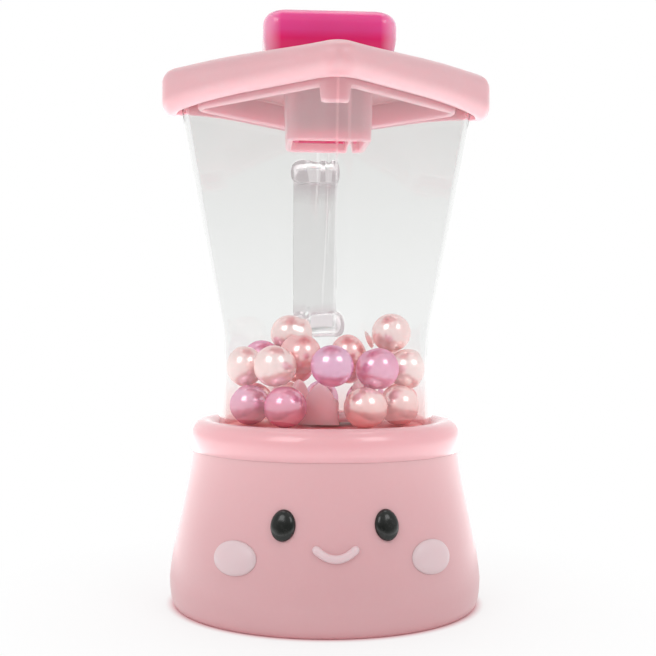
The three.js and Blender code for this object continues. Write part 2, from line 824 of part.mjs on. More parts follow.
function switchSlider() {
  const x = -switchTravel / 2;
  const knob = roundedRectangle(switchKnobHalfX, switchKnobHalfY, switchKnobCorner);
  const stem = block(
    [x - switchStemHalf, x + switchStemHalf],
    [switchY - switchStemHalf, switchY + switchStemHalf],
    [coverThickness - rootOverlap, switchStemTop],
  );
  return joined(raised(knob, switchRecess, coverThickness).translate([x, switchY, 0]), stem);
}

// Leads, each along its own hand-laid route

function lead(route) {
  const curve = new THREE.CatmullRomCurve3(route.map((point) => new THREE.Vector3(...point)));
  return swept(roundSection(leadRadius, leadSides), curve, leadSteps);
}

const tabTip = boxHalfLength + boxWall + contactTabLength / 2 + 2 * gap;
const switchEnd = switchHalfX + gap;
const canSide = motorRadius + gap;
const plusToSwitch = [
  [tabTip, boxCentreY, lowerCellHeight],
  [29.2, 13, 7.2],
  [27.6, 4, 6.4],
  [20.4, -6.6, 6],
  [13.6, -16.4, 6],
  [switchEnd, switchY, 5.6],
];
const switchToMotor = [
  [-switchEnd, switchY, 5.6],
  [-12.6, -17.6, 6.4],
  [-16.4, -9.4, 8.4],
  [-14.6, -2.4, 10],
  [-canSide - gap, 0, 10.6],
];
const minusToMotor = [
  [tabTip, boxCentreY, upperCellHeight],
  [29, 13.2, 17.45],
  [27.2, 6, 15.4],
  [17.4, 1.2, 12.8],
  [canSide + gap, 0, 11.2],
];

// Jar

function jarReach(height) {
  const above = height - jarKinkHeight;
  if (above <= -jarKinkBlend) return jarCollarReach;
  if (above >= jarKinkBlend) return jarCollarReach + jarTaperShare * above;
  return jarCollarReach + (jarTaperShare * (above + jarKinkBlend) ** 2) / (4 * jarKinkBlend);
}

function jarCorner(height) {
  const above = Math.max(0, height - jarCollarTop);
  return jarTopCorner + (jarCollarCorner - jarTopCorner) * Math.exp(-above / jarCornerFade);
}

function jarLevel(height, offset, at = height) {
  const corner = jarCorner(height) + offset;
  const flat = flatOf(jarReach(height) + offset, corner);
  return level(flat, flat, corner, at, Math.PI / 4);
}

function jarHeights() {
  const heights = [jarBottom, jarCollarTop];
  const bendTop = jarKinkHeight + jarKinkBlend;
  for (let step = 1; step <= jarBendSteps; step += 1) {
    heights.push(THREE.MathUtils.lerp(jarCollarTop, bendTop, step / jarBendSteps));
  }
  for (const share of jarFlareShares) {
    heights.push(THREE.MathUtils.lerp(bendTop, jarRimHeight, share));
  }
  return heights;
}

function handle() {
  const half = handleThickness / 2;
  const top = jarRimHeight - handleDrop - half;
  const bottom = jarRimHeight - handleDrop - handleHeight + half;
  const topReach = handleTopReach - half;
  const bottomReach = handleBottomReach - half;
  const soft = handleBend * handleBendShare;
  const route = [
    [0, jarReach(top) - handleBend, top],
    [0, topReach - handleBend, top],
    [0, topReach - soft, top - soft],
    [0, topReach, top - handleBend],
    [0, (topReach + bottomReach) / 2, (top + bottom) / 2],
    [0, bottomReach, bottom + handleBend],
    [0, bottomReach - soft, bottom + soft],
    [0, bottomReach - handleBend, bottom],
    [0, jarReach(bottom) - handleBend, bottom],
  ];
  const curve = new THREE.CatmullRomCurve3(route.map((point) => new THREE.Vector3(...point)));
  return swept(roundedRectangle(handleWidth / 2, half, handleCorner), curve, handleSteps);
}

function jar() {
  const heights = jarHeights();
  const outer = lofted(heights.map((height) => jarLevel(height, 0)));
  const inner = lofted(heights.map((height, i) => {
    if (i === 0) return jarLevel(height, -jarWall, height - overrun);
    if (i === heights.length - 1) return jarLevel(height, -jarWall, height + overrun);
    return jarLevel(height, -jarWall);
  }));
  return cut(joined(outer, handle()), inner);
}

function jarFloor() {
  const flangeTop = floorFlangeBottom + floorFlangeThickness;
  const flange = diamond(jarCollarReach, jarCollarCorner, floorFlangeBottom, flangeTop);
  const inset = jarWall + gap;
  const plugReach = jarCollarReach - inset;
  const plugCorner = jarCollarCorner - inset;
  const plug = diamond(plugReach, plugCorner, flangeTop - rootOverlap, floorTop);
  const hollowRadius = flatOf(plugReach, plugCorner) - floorWall;
  const hollow = disc(hollowRadius, floorFlangeBottom - overrun, floorTop - floorPlate, midSides);
  const bore = disc(bushRadius + gap, floorFlangeBottom, floorTop + overrun, smallSides);
  return cut(joined(flange, plug), hollow, bore);
}

function floorBush() {
  const flangeBottom = floorTop + gap;
  const flangeTop = flangeBottom + bushFlangeThickness;
  const bore = rotorShaftRadius + runningGap;
  return turned([
    [bore, floorTop - floorPlate],
    [bushRadius, floorTop - floorPlate],
    [bushRadius, flangeBottom],
    [bushFlangeRadius, flangeBottom],
    [bushFlangeRadius, flangeTop],
    [bore, flangeTop],
  ], smallSides);
}

// Rotor

function fin() {
  const [widthShare, heightShare] = finCurveShares;
  const half = finHalfWidth;
  const outline = new THREE.Shape();
  outline.moveTo(-half, 0);
  outline.lineTo(half, 0);
  outline.quadraticCurveTo(half * widthShare, finHeight * heightShare, 0, finHeight);
  outline.quadraticCurveTo(-half * widthShare, finHeight * heightShare, -half, 0);
  const leaf = raised(outline, -finThickness / 2, finThickness / 2, finEdge, finCurveSteps);
  return leaf.rotate([90, 0, 0]).translate([0, -finRadius, floorTop + finFloorAir]);
}

function bladeRotor() {
  const plate = disc(finRadius, rotorBottom, rotorBottom + rotorDiscThickness);
  const hubTop = rotorBottom + rotorHubHeight;
  const hub = turned([
    [0, rotorBottom],
    [rotorHubRadius, rotorBottom],
    [rotorHubRadius, hubTop - rotorDiscThickness],
    [rotorHubRadius - rotorDiscThickness, hubTop],
    [0, hubTop],
  ], midSides);
  const bore = disc(rotorShaftRadius + gap, rotorBottom - overrun, rotorShaftTop + gap, smallSides);
  const fins = [];
  for (let i = 0; i < finCount; i += 1) {
    fins.push(fin().rotate([0, 0, finTurnDegrees + (360 * i) / finCount]));
  }
  return cut(joined(plate, hub, ...fins), bore);
}

function rotorShaft() {
  return disc(rotorShaftRadius, drivenDiscBottom + 2 * gap, rotorShaftTop, smallSides);
}

// Beads. Each place is [degrees from the front towards +X, share of the way to the wall, share of a
// bead's width above the lowest layer, finish]. Some lie on the floor, the others on them and the wall.

const beadPlacesShare = [
  [-37, 1, 0, pearlMagenta],
  [-75, 1, 0, pearlLilac],
  [-110, 1, 0, pearlRose],
  [-143, 1, 0, pearlPale],
  [180, 1, 0, pearlLilac],
  [27.5, 1, 0, pearlPale],
  [68.5, 1, 0, pearlPale],
  [104, 1, 0, pearlRose],
  [138, 1, 0, pearlMagenta],
  [-87, 1, 0.94, pearlPale],
  [-49, 1, 0.98, pearlPale],
  [0.3, 1, 1.02, pearlLilac],
  [42, 1, 0.93, pearlMagenta],
  [85, 1, 0.89, pearlPale],
  [118, 1, 0.92, pearlRose],
  [155, 1, 0.93, pearlPale],
  [-157, 1, 0.94, pearlRose],
  [-118, 1, 1.09, pearlMagenta],
  [93, 0.8, 1.8, pearlPale],
  [-142, 0.8, 1.76, pearlPale],
  [-57, 0.44, 1.26, pearlRose],
  [128, 0.485, 1.27, pearlRose],
];

// Axis to the centre of a bead that leans on the collar's wall, in a direction in degrees from the front.
function beadReach(degrees) {
  const inset = jarWall + beadRadius + beadAir;
  const corner = jarCollarCorner - inset;
  const flat = flatOf(jarCollarReach - inset, corner);
  const folded = radians(Math.abs(((((degrees + 45) % 90) + 90) % 90) - 45));
  const fromFlat = Math.PI / 4 - folded;
  const straight = flat - corner;
  if (flat * Math.tan(fromFlat) <= straight) return flat / Math.cos(fromFlat);
  const lean = straight * (Math.cos(fromFlat) + Math.sin(fromFlat));
  return lean + Math.sqrt(corner ** 2 - straight ** 2 * (1 - Math.sin(2 * fromFlat)));
}

function beadCentre([degrees, wallShare, heightShare]) {
  const reach = wallShare * beadReach(degrees);
  const height = floorTop + beadAir + beadRadius * (1 + 2 * heightShare);
  return new THREE.Vector3(reach * Math.sin(radians(degrees)), -reach * Math.cos(radians(degrees)), height);
}

// Lid and filler cap

// How far the band rises and drops towards a side corner, which is at a share of 1.
const earRise = (aside) => lidEarRise * THREE.MathUtils.smoothstep(aside, 0, lidRiseEndShare);
const earDrop = (aside) => {
  const share = Math.max(0, (aside - lidDropStartShare) / (1 - lidDropStartShare));
  return -lidEarDrop * share ** 2;
};

// One level of the lid's band, moved by lift on the way from the front corner to a side corner.
function lidLevel(inset, height, lift = () => 0) {
  const corner = Math.max(lidCorner - inset, lidEdge);
  const flat = flatOf(lidReach - inset, corner);
  const ring = level(flat, flat, corner, height, Math.PI / 4, lidCornerSteps);
  const perCorner = ring.length / 4;
  const divided = ring.flatMap((point, i) => {
    if ((i + 1) % perCorner !== 0) return [point];
    const next = ring[(i + 1) % ring.length];
    const shares = Array.from({ length: lidSideSteps }, (_, step) => step / lidSideSteps);
    return shares.map((share) => point.clone().lerp(next, share));
  });
  for (const point of divided) {
    const aside = Math.abs(point.x) / (Math.abs(point.x) + Math.abs(point.y));
    point.z += lift(aside);
  }
  return divided;
}

function lidBand() {
  const levels = [];
  const turns = Array.from({ length: bevelSteps + 1 }, (_, step) => ((step / bevelSteps) * Math.PI) / 2);
  for (const turn of turns) {
    const rise = lidEdge * (1 - Math.cos(turn));
    levels.push(lidLevel(lidUnderWidth * (1 - Math.sin(turn)), lidBottom + rise, earDrop));
  }
  for (const turn of turns) {
    const drop = lidEdge * (1 - Math.sin(turn));
    levels.push(lidLevel(lidEdge * (1 - Math.cos(turn)), lidTop - drop, earRise));
  }
  return lofted([...levels, lidLevel(lidRim, lidTop)]);
}

function lid() {
  const plateBottom = lidTop - lidPlate;
  const rimReach = jarReach(jarRimHeight) + gap;
  const rimCorner = jarCorner(jarRimHeight) + gap;
  const groove = diamond(rimReach, rimCorner, lidBottom - lidEarDrop - overrun, plateBottom);
  const skirtBottom = lidBottom - lidSkirtDrop;
  const tabBottom = skirtBottom - lidTabDrop;
  const tabs = block(
    [-lidTabHalf, lidTabHalf],
    [-lidSkirtReach - overrun, lidSkirtReach + overrun],
    [tabBottom - overrun, lidTop],
  );
  const skirt = cut(
    joined(
      diamond(lidSkirtReach, lidSkirtCorner, skirtBottom, plateBottom + rootOverlap),
      diamond(lidSkirtReach, lidSkirtCorner, tabBottom, skirtBottom + rootOverlap).intersect(tabs),
    ),
    diamond(lidSkirtReach - lidSkirtWall, lidSkirtCorner - lidSkirtWall, tabBottom - overrun, plateBottom),
  );
  const socket = lofted([
    level(socketBottomHalf, socketBottomHalf, socketCorner, socketBottom),
    level(socketTopHalf, socketTopHalf, socketCorner, plateBottom + rootOverlap),
  ]);
  const boreHalf = socketBottomHalf - socketWall;
  const bore = raised(
    roundedRectangle(boreHalf, boreHalf, socketCorner - socketWall),
    socketBottom - overrun,
    lidTop + overrun,
  );
  return cut(joined(cut(lidBand(), groove), skirt, socket), bore);
}

function capLevels(inset, bottom, roundTop) {
  const levels = [];
  const halfX = capHalfX - inset;
  const halfY = capHalfY - inset;
  const corner = capCorner - inset;
  const add = (shrink, height) => {
    levels.push(level(halfX - shrink, halfY - shrink, corner - shrink * capCornerShare, height));
  };
  add(capFootInset, bottom);
  add(0, capBottom + capFootHeight);
  for (let step = 0; step <= capRoundSteps; step += 1) {
    const angle = (step / capRoundSteps) * (Math.PI / 2);
    add(roundTop * (1 - Math.cos(angle)), capTop - inset - roundTop * (1 - Math.sin(angle)));
  }
  return levels;
}

function fillerCap() {
  const dome = lofted(capLevels(0, capBottom, capTopRound));
  const hollow = lofted(capLevels(capWall, capBottom - overrun, capTopRound - capWall / 2));
  const plugHalf = socketBottomHalf - socketWall - gap;
  const plugBottom = capBottom - capPlugLength;
  const corner = socketCorner - socketWall;
  const tubeHalf = plugHalf - capPlugWall;
  const tubeTop = capTop - capWall;
  const tube = cut(
    raised(roundedRectangle(plugHalf, plugHalf, corner), plugBottom, tubeTop + rootOverlap),
    raised(roundedRectangle(tubeHalf, tubeHalf, capTubeCorner), plugBottom - overrun, tubeTop),
  );
  return joined(cut(dome, hollow), tube);
}

// Face pieces, laid on the casing's curve

// A little more than the casing itself, to cut the back of what is laid on it.
function casingCutter() {
  return turned([[0, 0], [baseFootRadius, 0], ...baseSide(0, baseDeckTop, gap), [0, baseDeckTop]]);
}

// A low oval dome on the casing at an angle from the front.
function oval(degrees, height, halfWidth, halfHeight, proud) {
  const geometry = new THREE.SphereGeometry(1, faceSides, faceRings);
  geometry.scale(halfWidth, gap + faceSink + proud, halfHeight);
  geometry.translate(0, -baseRadius(height) + faceSink, height);
  geometry.rotateZ(radians(degrees));
  return cut(solidOf(geometry), casingCutter());
}

function smile() {
  const points = [];
  for (let step = 0; step <= smileSteps; step += 1) {
    const across = (2 * step) / smileSteps - 1;
    const height = smileHeight - smileDrop * (1 - across * across);
    const radius = baseRadius(height) + gap;
    const angle = (across * smileHalfWidth) / radius;
    points.push(new THREE.Vector3(radius * Math.sin(angle), -radius * Math.cos(angle), height));
  }
  const curve = new THREE.CatmullRomCurve3(points);
  return cut(swept(roundSection(smileRadius, leadSides), curve, smileSteps), casingCutter());
}

// Assembly

const toyBlender = new THREE.Group();

function part(name, solid, finish) {
  const mesh = new THREE.Mesh(geometryOf(solid), new THREE.MeshStandardMaterial(finish));
  mesh.name = name;
  toyBlender.add(mesh);
}

part('base_shell', baseShell(), softPink);
part('rim_ring', rimRing(), paleRose);
part('bottom_cover', bottomCover(), softPink);
coverScrewDegrees.forEach((angle, i) => {
  part(`cover_screw_${i + 1}`, screw(...polar(coverScrewCircle, angle)), steel);
});
part('left_eye', oval(-eyeTurnDegrees, eyeHeight, eyeHalfWidth, eyeHalfHeight, eyeProud), black);
part('right_eye', oval(eyeTurnDegrees, eyeHeight, eyeHalfWidth, eyeHalfHeight, eyeProud), black);
part('left_cheek', oval(-cheekTurnDegrees, cheekHeight, cheekHalfWidth, cheekHalfHeight, cheekProud), cream);
part('right_cheek', oval(cheekTurnDegrees, cheekHeight, cheekHalfWidth, cheekHalfHeight, cheekProud), cream);
part('smile', smile(), cream);
part('motor_can', motorCan(), steel);
part('motor_mount', motorMount(), whitePlastic);
part('motor_shaft', motorShaft(), steel);
part('drive_dog', driveDog(), darkPlastic);
part('battery_box', batteryBox(), darkPlastic);
part('lower_cell', cell(1, lowerCellHeight), cellGreen);
part('upper_cell', cell(-1, upperCellHeight), cellGreen);
part('bridge_contact', bridgeContact(), brass);
part('plus_terminal', terminal(lowerCellHeight), brass);
part('minus_terminal', terminal(upperCellHeight), brass);
part('lower_cell_spring', cellSpring(-1, lowerCellHeight), steel);
part('upper_cell_spring', cellSpring(1, upperCellHeight), steel);
part('battery_door', cut(doorBody(0, 0, doorThickness), screwSeat(doorTongueX, doorTongueY)), softPink);
part('door_screw', screw(doorTongueX, doorTongueY), steel);
part('switch_body', switchBody(), darkPlastic);
part('switch_slider', switchSlider(), darkPlastic);
part('plus_lead', lead(plusToSwitch), redWire);
part('switch_lead', lead(switchToMotor), redWire);
part('minus_lead', lead(minusToMotor), blackWire);
part('jar', jar(), clear);
part('jar_floor', jarFloor(), paleRose);
part('floor_bush', floorBush(), brass);
part('rotor_shaft', rotorShaft(), steel);
part('driven_dog', drivenDog(), darkPlastic);
part('blade_rotor', bladeRotor(), bladePink);
beadPlacesShare.forEach((place, i) => {
  const centre = beadCentre(place);
  const geometry = new THREE.SphereGeometry(beadRadius, beadSides, beadRings).rotateX(Math.PI / 2);
  part(`bead_${i + 1}`, solidOf(geometry).translate(centre.toArray()), place[3]);
});
part('lid', lid(), lidPink);
part('filler_cap', fillerCap(), magenta);

export default toyBlender;
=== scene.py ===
"""Looks of a toy blender: a pink battery base, a clear jar of pearl beads, a lid and a filler cap.

Metres, +Z up, front at -Y, the origin on the floor at the axis of the base. Every new piece is one or more
grids of points worked out with numpy, and takes its place from the solids of the fixed frame.
"""
import math

import bpy
import numpy as np
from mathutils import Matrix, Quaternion, Vector


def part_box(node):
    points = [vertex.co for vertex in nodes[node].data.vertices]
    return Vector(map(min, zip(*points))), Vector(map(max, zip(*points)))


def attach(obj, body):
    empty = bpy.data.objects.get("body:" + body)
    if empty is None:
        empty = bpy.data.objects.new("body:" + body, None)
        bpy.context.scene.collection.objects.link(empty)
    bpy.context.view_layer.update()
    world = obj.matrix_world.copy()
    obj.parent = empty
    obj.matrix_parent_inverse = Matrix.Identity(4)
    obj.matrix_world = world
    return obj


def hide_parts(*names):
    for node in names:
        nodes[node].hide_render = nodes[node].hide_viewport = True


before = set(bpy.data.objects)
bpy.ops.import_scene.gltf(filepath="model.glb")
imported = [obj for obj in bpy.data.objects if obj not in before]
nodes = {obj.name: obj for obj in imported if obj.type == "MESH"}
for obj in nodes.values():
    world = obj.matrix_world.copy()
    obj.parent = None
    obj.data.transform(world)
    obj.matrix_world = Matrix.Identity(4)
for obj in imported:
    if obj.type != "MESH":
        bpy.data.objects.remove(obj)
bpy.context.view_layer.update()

# Camera: level, in front and a little to the left, as the photograph was taken
CAMERA_DISTANCE = 0.284
CAMERA_HEIGHT = 0.0684
CAMERA_TURN = math.radians(3.8)
CAMERA_LENS = 61.2
CAMERA_SHIFT_X = 0.003
CAMERA_SHIFT_Y = 0.003
CAMERA_ROLL = math.radians(0.3)

# Strength of the room's light above, below, behind and in the dark band at eye height in front, where that
# band has its middle and how far it reaches, and the base of its bell curve
WORLD_ABOVE = 0.64
WORLD_BELOW = 2.15
WORLD_BACK = 1.1
WORLD_FRONT = 0.2
WORLD_DARK_MIDDLE = 0.12
WORLD_DARK_BAND = 0.38
EULER = 2.718

# What the lamps look at
LAMP_AIM = (0, 0, 0.07)

# The floor carries the object's shadow out to its rim, and beyond it is the white room
FLOOR_RADIUS = 0.105
FLOOR_CONTACT = 0.0402
FLOOR_NEAR_WHITE = 0.72
FLOOR_WHITE_SHARE = 0.95
FLOOR_THICKNESS = 0.001
FLOOR_GAP = 0.00002

# Clear walls let go of light that has met more surfaces than this
CLEAR_DEPTH = 5.5

# Base casing
CASING_FOOT = 0.0376
CASING_BELLY = 0.03905
CASING_BELLY_HEIGHT = 0.007
CASING_NECK = 0.0334
CASING_WALL = 0.002
CASING_HOLE = 0.0082
CASING_SEAT = 0.0363
CASING_FLARE_SHARE = 0.5
CASING_EDGE = 0.0003
CASING_STOP = 0.0004
CASING_INSIDE_STOP = 0.0006
CASING_SEAT_EDGE = 0.0001
COVER_GAP = 0.0003
COVER_THICKNESS = 0.0022
SCREW_CIRCLE = 0.0286
SCREW_DEGREES = (90, 210, 330)
BOSS_RADIUS = 0.0031
BOSS_BORE = 0.0014
BOSS_BORE_TOP = 0.0102
PEG_PLACE = 0.0158
PEG_RADIUS = 0.0026
PEG_NECK_RADIUS = 0.0012
PEG_NECK_TOP = 0.0336
PEG_HEAD_RADIUS = 0.0021
PEG_HEAD_TOP = 0.0317
PEG_HEAD_BOTTOM = 0.0309
POST_EDGE = 0.0002
POST_BURIED = 0.0005

# Rolled rim ring
RING_CROWN = 0.0309
RING_WAIST = 0.0342
RING_WAIST_RISE = 0.0032
RING_UNDERCUT = 0.0009
RING_LEDGE_DROP = 0.0028
RING_EDGE = 0.0003
RING_WALL_START = 0.0004
RING_FOOT_INSET = 0.0002
SOCKET_REACH = 0.0274
SOCKET_CORNER = 0.0163

# Jar, a rounded square whose corners lie on the X and Y axes
JAR_WALL = 0.0016
JAR_REACH = 0.0271
JAR_CORNER = 0.016
JAR_TOP_CORNER = 0.005
JAR_COLLAR_TOP = 0.062
JAR_CORNER_FADE = 0.013
JAR_KINK = 0.0666
JAR_KINK_BLEND = 0.0046
JAR_TAPER = 0.169
JAR_EDGE = 0.0004
JAR_FINE_TOP = 0.08
JAR_CUTTER_OVER = 0.002

# Floor of the jar
FLANGE_THICKNESS = 0.0022
PLUG_REACH = 0.0252
PLUG_CORNER = 0.0141
FLOOR_PLATE = 0.0022
FLOOR_HOLLOW = 0.02
FLOOR_BORE = 0.0029
FLOOR_EDGE = 0.0003
PLUG_EDGE = 0.0006
PLUG_FOOT_STEP = 0.0001

# Handle, a flat bar bent into a loop behind the jar
HANDLE_HALF_WIDTH = 0.007
HANDLE_HALF_THICKNESS = 0.0025
HANDLE_CORNER = 0.0021
HANDLE_TOP = 0.1156
HANDLE_BOTTOM = 0.0676
HANDLE_TOP_REACH = 0.0486
HANDLE_BOTTOM_REACH = 0.0444
HANDLE_BEND = 0.0064
HANDLE_FILLET = 0.0011
HANDLE_FILLET_RUN = 0.0022
HANDLE_INSET = 0.0012
HANDLE_END_RUN = 0.004

# Lid
LID_REACH = 0.0417
LID_CORNER = 0.0055
LID_EDGE = 0.0036
LID_UNDER_WIDTH = 0.0024
LID_HEIGHT = 0.0082
LID_EAR_RISE = 0.0015
LID_EAR_DROP = 0.002
LID_RISE_END_SHARE = 0.75
LID_DROP_START_SHARE = 0.55
LID_RIM = 0.0087
LID_PLATE = 0.0024
LID_SMALL_EDGE = 0.0004
LID_BORE_FLAT = 0.0003
LID_RIM_FLAT = 0.004
LID_PLATE_EDGE = 0.0005
GROOVE_REACH = 0.03805
GROOVE_CORNER = 0.00536
GROOVE_EDGE = 0.0002
SKIRT_REACH = 0.0322
SKIRT_CORNER = 0.005
SKIRT_WALL = 0.0016
SKIRT_DROP = 0.0006
SKIRT_EDGE = 0.0008
TAB_HALF = 0.0034
TAB_DROP = 0.0037
TUBE_TOP_HALF = 0.01035
TUBE_BOTTOM_HALF = 0.0099
TUBE_CORNER = 0.003
TUBE_WALL = 0.0015
TUBE_EDGE = 0.0006

# Filler cap
CAP_HALF_X = 0.0165
CAP_HALF_Y = 0.013
CAP_CORNER = 0.0046
CAP_ROUND = 0.0038
CAP_FOOT_INSET = 0.0013
CAP_FOOT_HEIGHT = 0.0075
CAP_FOOT_SHARES = np.array([0, 0.03, 0.08, 0.25, 0.5, 0.75, 1])
CAP_LEAST_CORNER = 0.0004
CAP_GAP = 0.0003
CAP_WALL = 0.0022
CAP_PLUG_HALF = 0.0081
CAP_PLUG_WALL = 0.0015
CAP_PLUG_CORNER = 0.0015
CAP_PLUG_INSETS = np.array([0.0005, 0.0002, 0, 0])
CAP_PLUG_RISES = np.array([0, 0.0002, 0.0006])
CAP_PLUG_BURIED = 0.0004
CAP_BORE_CORNER = 0.0005
CAP_BORE_OVER = 0.001

# Blade rotor
DISC_RADIUS = 0.0093
DISC_THICKNESS = 0.0012
HUB_RADIUS = 0.0034
HUB_HEIGHT = 0.0052
HUB_BORE = 0.0013
FIN_COUNT = 3
FIN_TURN = math.radians(-12.6)
FIN_HALF_WIDTH = 0.00485
FIN_HALF_THICKNESS = 0.0011
FIN_RADIUS = 0.0093
BUSH_GAP = 0.0003

# Beads and face
BEAD_RADIUS = 0.005
FACE_LIFT = 0.00002
EYE = {"turn": 19, "height": 0.0246, "half_width": 0.0029, "half_height": 0.0035, "proud": 0.0016}
CHEEK = {"turn": 37, "height": 0.0166, "half_width": 0.006, "half_height": 0.0039, "proud": 0.0013}
SMILE_HEIGHT = 0.0202
SMILE_HALF_WIDTH = 0.005
SMILE_DROP = 0.0026
SMILE_RADIUS = 0.00095
SMILE_LIFT = 0.0002

SUPPORT = 0.00012  # a row this close to a rounding keeps the flat beside it shading flat


# Grids of points and the meshes made of them

def outward(points, faces):
    """Turns the faces round if the closed skin's volume, a sum of corner products, comes out negative."""
    volume = 0.0
    for face in faces:
        a, b, c = points[face[:, 0]], points[face[:, 1]], points[face[:, 2]]
        volume += np.einsum("ij,ij->", a, np.cross(b, c))
        if face.shape[1] == 4:
            volume += np.einsum("ij,ij->", a, np.cross(c, points[face[:, 3]]))
    return points, [face[:, ::-1] for face in faces] if volume < 0 else faces


def skin(rings, closed=False):
    """A closed skin over rings of points, rings[level, place, xyz]. The last ring joins the first if closed,
    otherwise a fan about the ring's mean shuts each end."""
    levels, around = rings.shape[:2]
    row, column = np.meshgrid(np.arange(levels if closed else levels - 1), np.arange(around), indexing="ij")
    next_row, next_column = (row + 1) % levels, (column + 1) % around
    quads = np.stack([row * around + column, row * around + next_column,
                      next_row * around + next_column, next_row * around + column], -1).reshape(-1, 4)
    points = rings.reshape(-1, 3)
    if closed:
        return outward(points, [quads])
    here = np.arange(around)
    following = (here + 1) % around
    first_end, last_end = np.full(around, len(points)), np.full(around, len(points) + 1)
    last = (levels - 1) * around
    fans = np.concatenate([np.stack([following, here, first_end], -1),
                           np.stack([last + here, last + following, last_end], -1)])
    return outward(np.concatenate([points, rings[[0, -1]].mean(1)]), [quads, fans])


def mesh_of(name, closed_skin):
    """A smooth mesh of a closed skin, which is points and blocks of faces."""
    points, blocks = closed_skin
    sizes = np.concatenate([np.full(len(block), block.shape[1], np.int32) for block in blocks])
    mesh = bpy.data.meshes.new(name)
    mesh.vertices.add(len(points))
    mesh.vertices.foreach_set("co", points.astype(np.float32).ravel())
    mesh.loops.add(int(sizes.sum()))
    corners = np.concatenate([block.ravel() for block in blocks])
    mesh.loops.foreach_set("vertex_index", corners.astype(np.int32))
    mesh.polygons.add(len(sizes))
    mesh.polygons.foreach_set("loop_start", np.concatenate([[0], np.cumsum(sizes)[:-1]]).astype(np.int32))
    mesh.update(calc_edges=True)
    mesh.validate()
    mesh.shade_smooth()
    return mesh


def object_of(name, carried):
    """An object at the origin that carries a mesh, a lamp or a camera."""
    thing = bpy.data.objects.new(name, carried)
    bpy.context.scene.collection.objects.link(thing)
    return thing


def joined(name, first, others, cutters=()):
    """One closed mesh: the first skin with the others joined to it and the cutters taken out."""
    result = object_of(name, mesh_of(name, first))
    tools = []
    for operation, skins in (("UNION", others), ("DIFFERENCE", cutters)):
        for tool_skin in skins:
            tools.append(object_of(name + "_tool", mesh_of(name + "_tool", tool_skin)))
            step = result.modifiers.new("joint", "BOOLEAN")
            step.operation, step.object, step.solver = operation, tools[-1], "MANIFOLD"
    shown = result.evaluated_get(bpy.context.evaluated_depsgraph_get())
    mesh = bpy.data.meshes.new_from_object(shown)
    for thing in [result, *tools]:
        bpy.data.objects.remove(thing)
    mesh.name = name
    mesh.shade_smooth()
    return mesh


def dressed(name, mesh, material, body, slot, *replaced, sharp_degrees=None):
    """A finished piece: its material, the body that it moves with and the solids that it stands for."""
    if sharp_degrees is not None:
        mesh.set_sharp_from_angle(angle=math.radians(sharp_degrees))
    mesh.materials.clear()
    mesh.materials.append(material)
    thing = object_of(name, mesh)
    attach(thing, body)
    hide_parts(*replaced)


def rounded(corners, roundings, steps=8):
    """An outline of straight runs and arcs, from its first point to its last. At each corner an arc leaves
    the run at the rounding's distance: a rational quadratic curve whose control point is the corner and
    whose weight is the cosine of half the turn."""
    corners = np.asarray(corners, float)
    size = np.maximum(np.asarray(roundings, float), 1e-7)[:, None]
    back, on = np.roll(corners, 1, 0) - corners, np.roll(corners, -1, 0) - corners
    back = back / np.linalg.norm(back, axis=1, keepdims=True)
    on = on / np.linalg.norm(on, axis=1, keepdims=True)
    weight = np.sqrt(np.clip((1 - (back * on).sum(1)) / 2, 0, 1))[:, None, None]
    share = np.linspace(0, 1, steps + 1)[None, :, None]
    ends = (corners + back * size)[:, None], (corners + on * size)[:, None]
    parts = (1 - share) ** 2, 2 * weight * share * (1 - share), share ** 2
    arcs = (parts[0] * ends[0] + parts[1] * corners[:, None] + parts[2] * ends[1]) / sum(parts)
    support = SUPPORT * (size[:, None] > 1e-5)
    row = np.concatenate([ends[0] + back[:, None] * support, arcs, ends[1] + on[:, None] * support], 1)
    return np.concatenate([corners[:1], row[1:-1].reshape(-1, 2), corners[-1:]])


def steps_round(count):
    """A row of so many even angles round the circle."""
    return np.arange(count)[None] * (2 * np.pi / count)


def turned(outline, around=192, centre=(0, 0)):
    """Rings of an outline of radius and height turned about a line along Z through centre."""
    angle = steps_round(around)
    return rings_of(outline[:, :1] + 0 * angle, outline[:, 1], angle) + np.array([*centre, 0])


def directions(around=384, gather=0.75):
    """Angles round the axis from the front, gathered towards the four axes, where the corners are:
    angle = u - gather sin(4 u) / 4 for even steps u."""
    even = np.arange(around) * (2 * np.pi / around)
    return even - gather * np.sin(4 * even) / 4


def square_radius(half, corner, angle):
    """Axis to the edge of a rounded square of that half side and corner radius, in directions measured from
    the middle of a side: half / cos on the sides, and the far root of the corner circle past them."""
    folded = np.abs((angle + np.pi / 4) % (np.pi / 2) - np.pi / 4)
    straight = half - corner
    on_side = half / np.cos(folded)
    inside = np.maximum(corner ** 2 - straight ** 2 * (1 - np.sin(2 * folded)), 0)
    on_corner = straight * (np.cos(folded) + np.sin(folded)) + np.sqrt(inside)
    return np.where(half * np.tan(folded) <= straight, on_side, on_corner)


def corner_radius(reach, corner, angle):
    """The same for a rounded square standing on its corners, given by the reach of a corner."""
    return square_radius((reach - corner) / math.sqrt(2) + corner, corner, angle + np.pi / 4)


def rings_of(radius, height, angle):
    """Rings from a radius for each level and direction, and a height for each level or for each of both:
    x = radius sin angle, y = -radius cos angle, z = height."""
    height = np.asarray(height, float)
    height = np.broadcast_to(height if height.ndim == 2 else height[:, None], radius.shape)
    return np.stack([radius * np.sin(angle), -radius * np.cos(angle), height], -1)


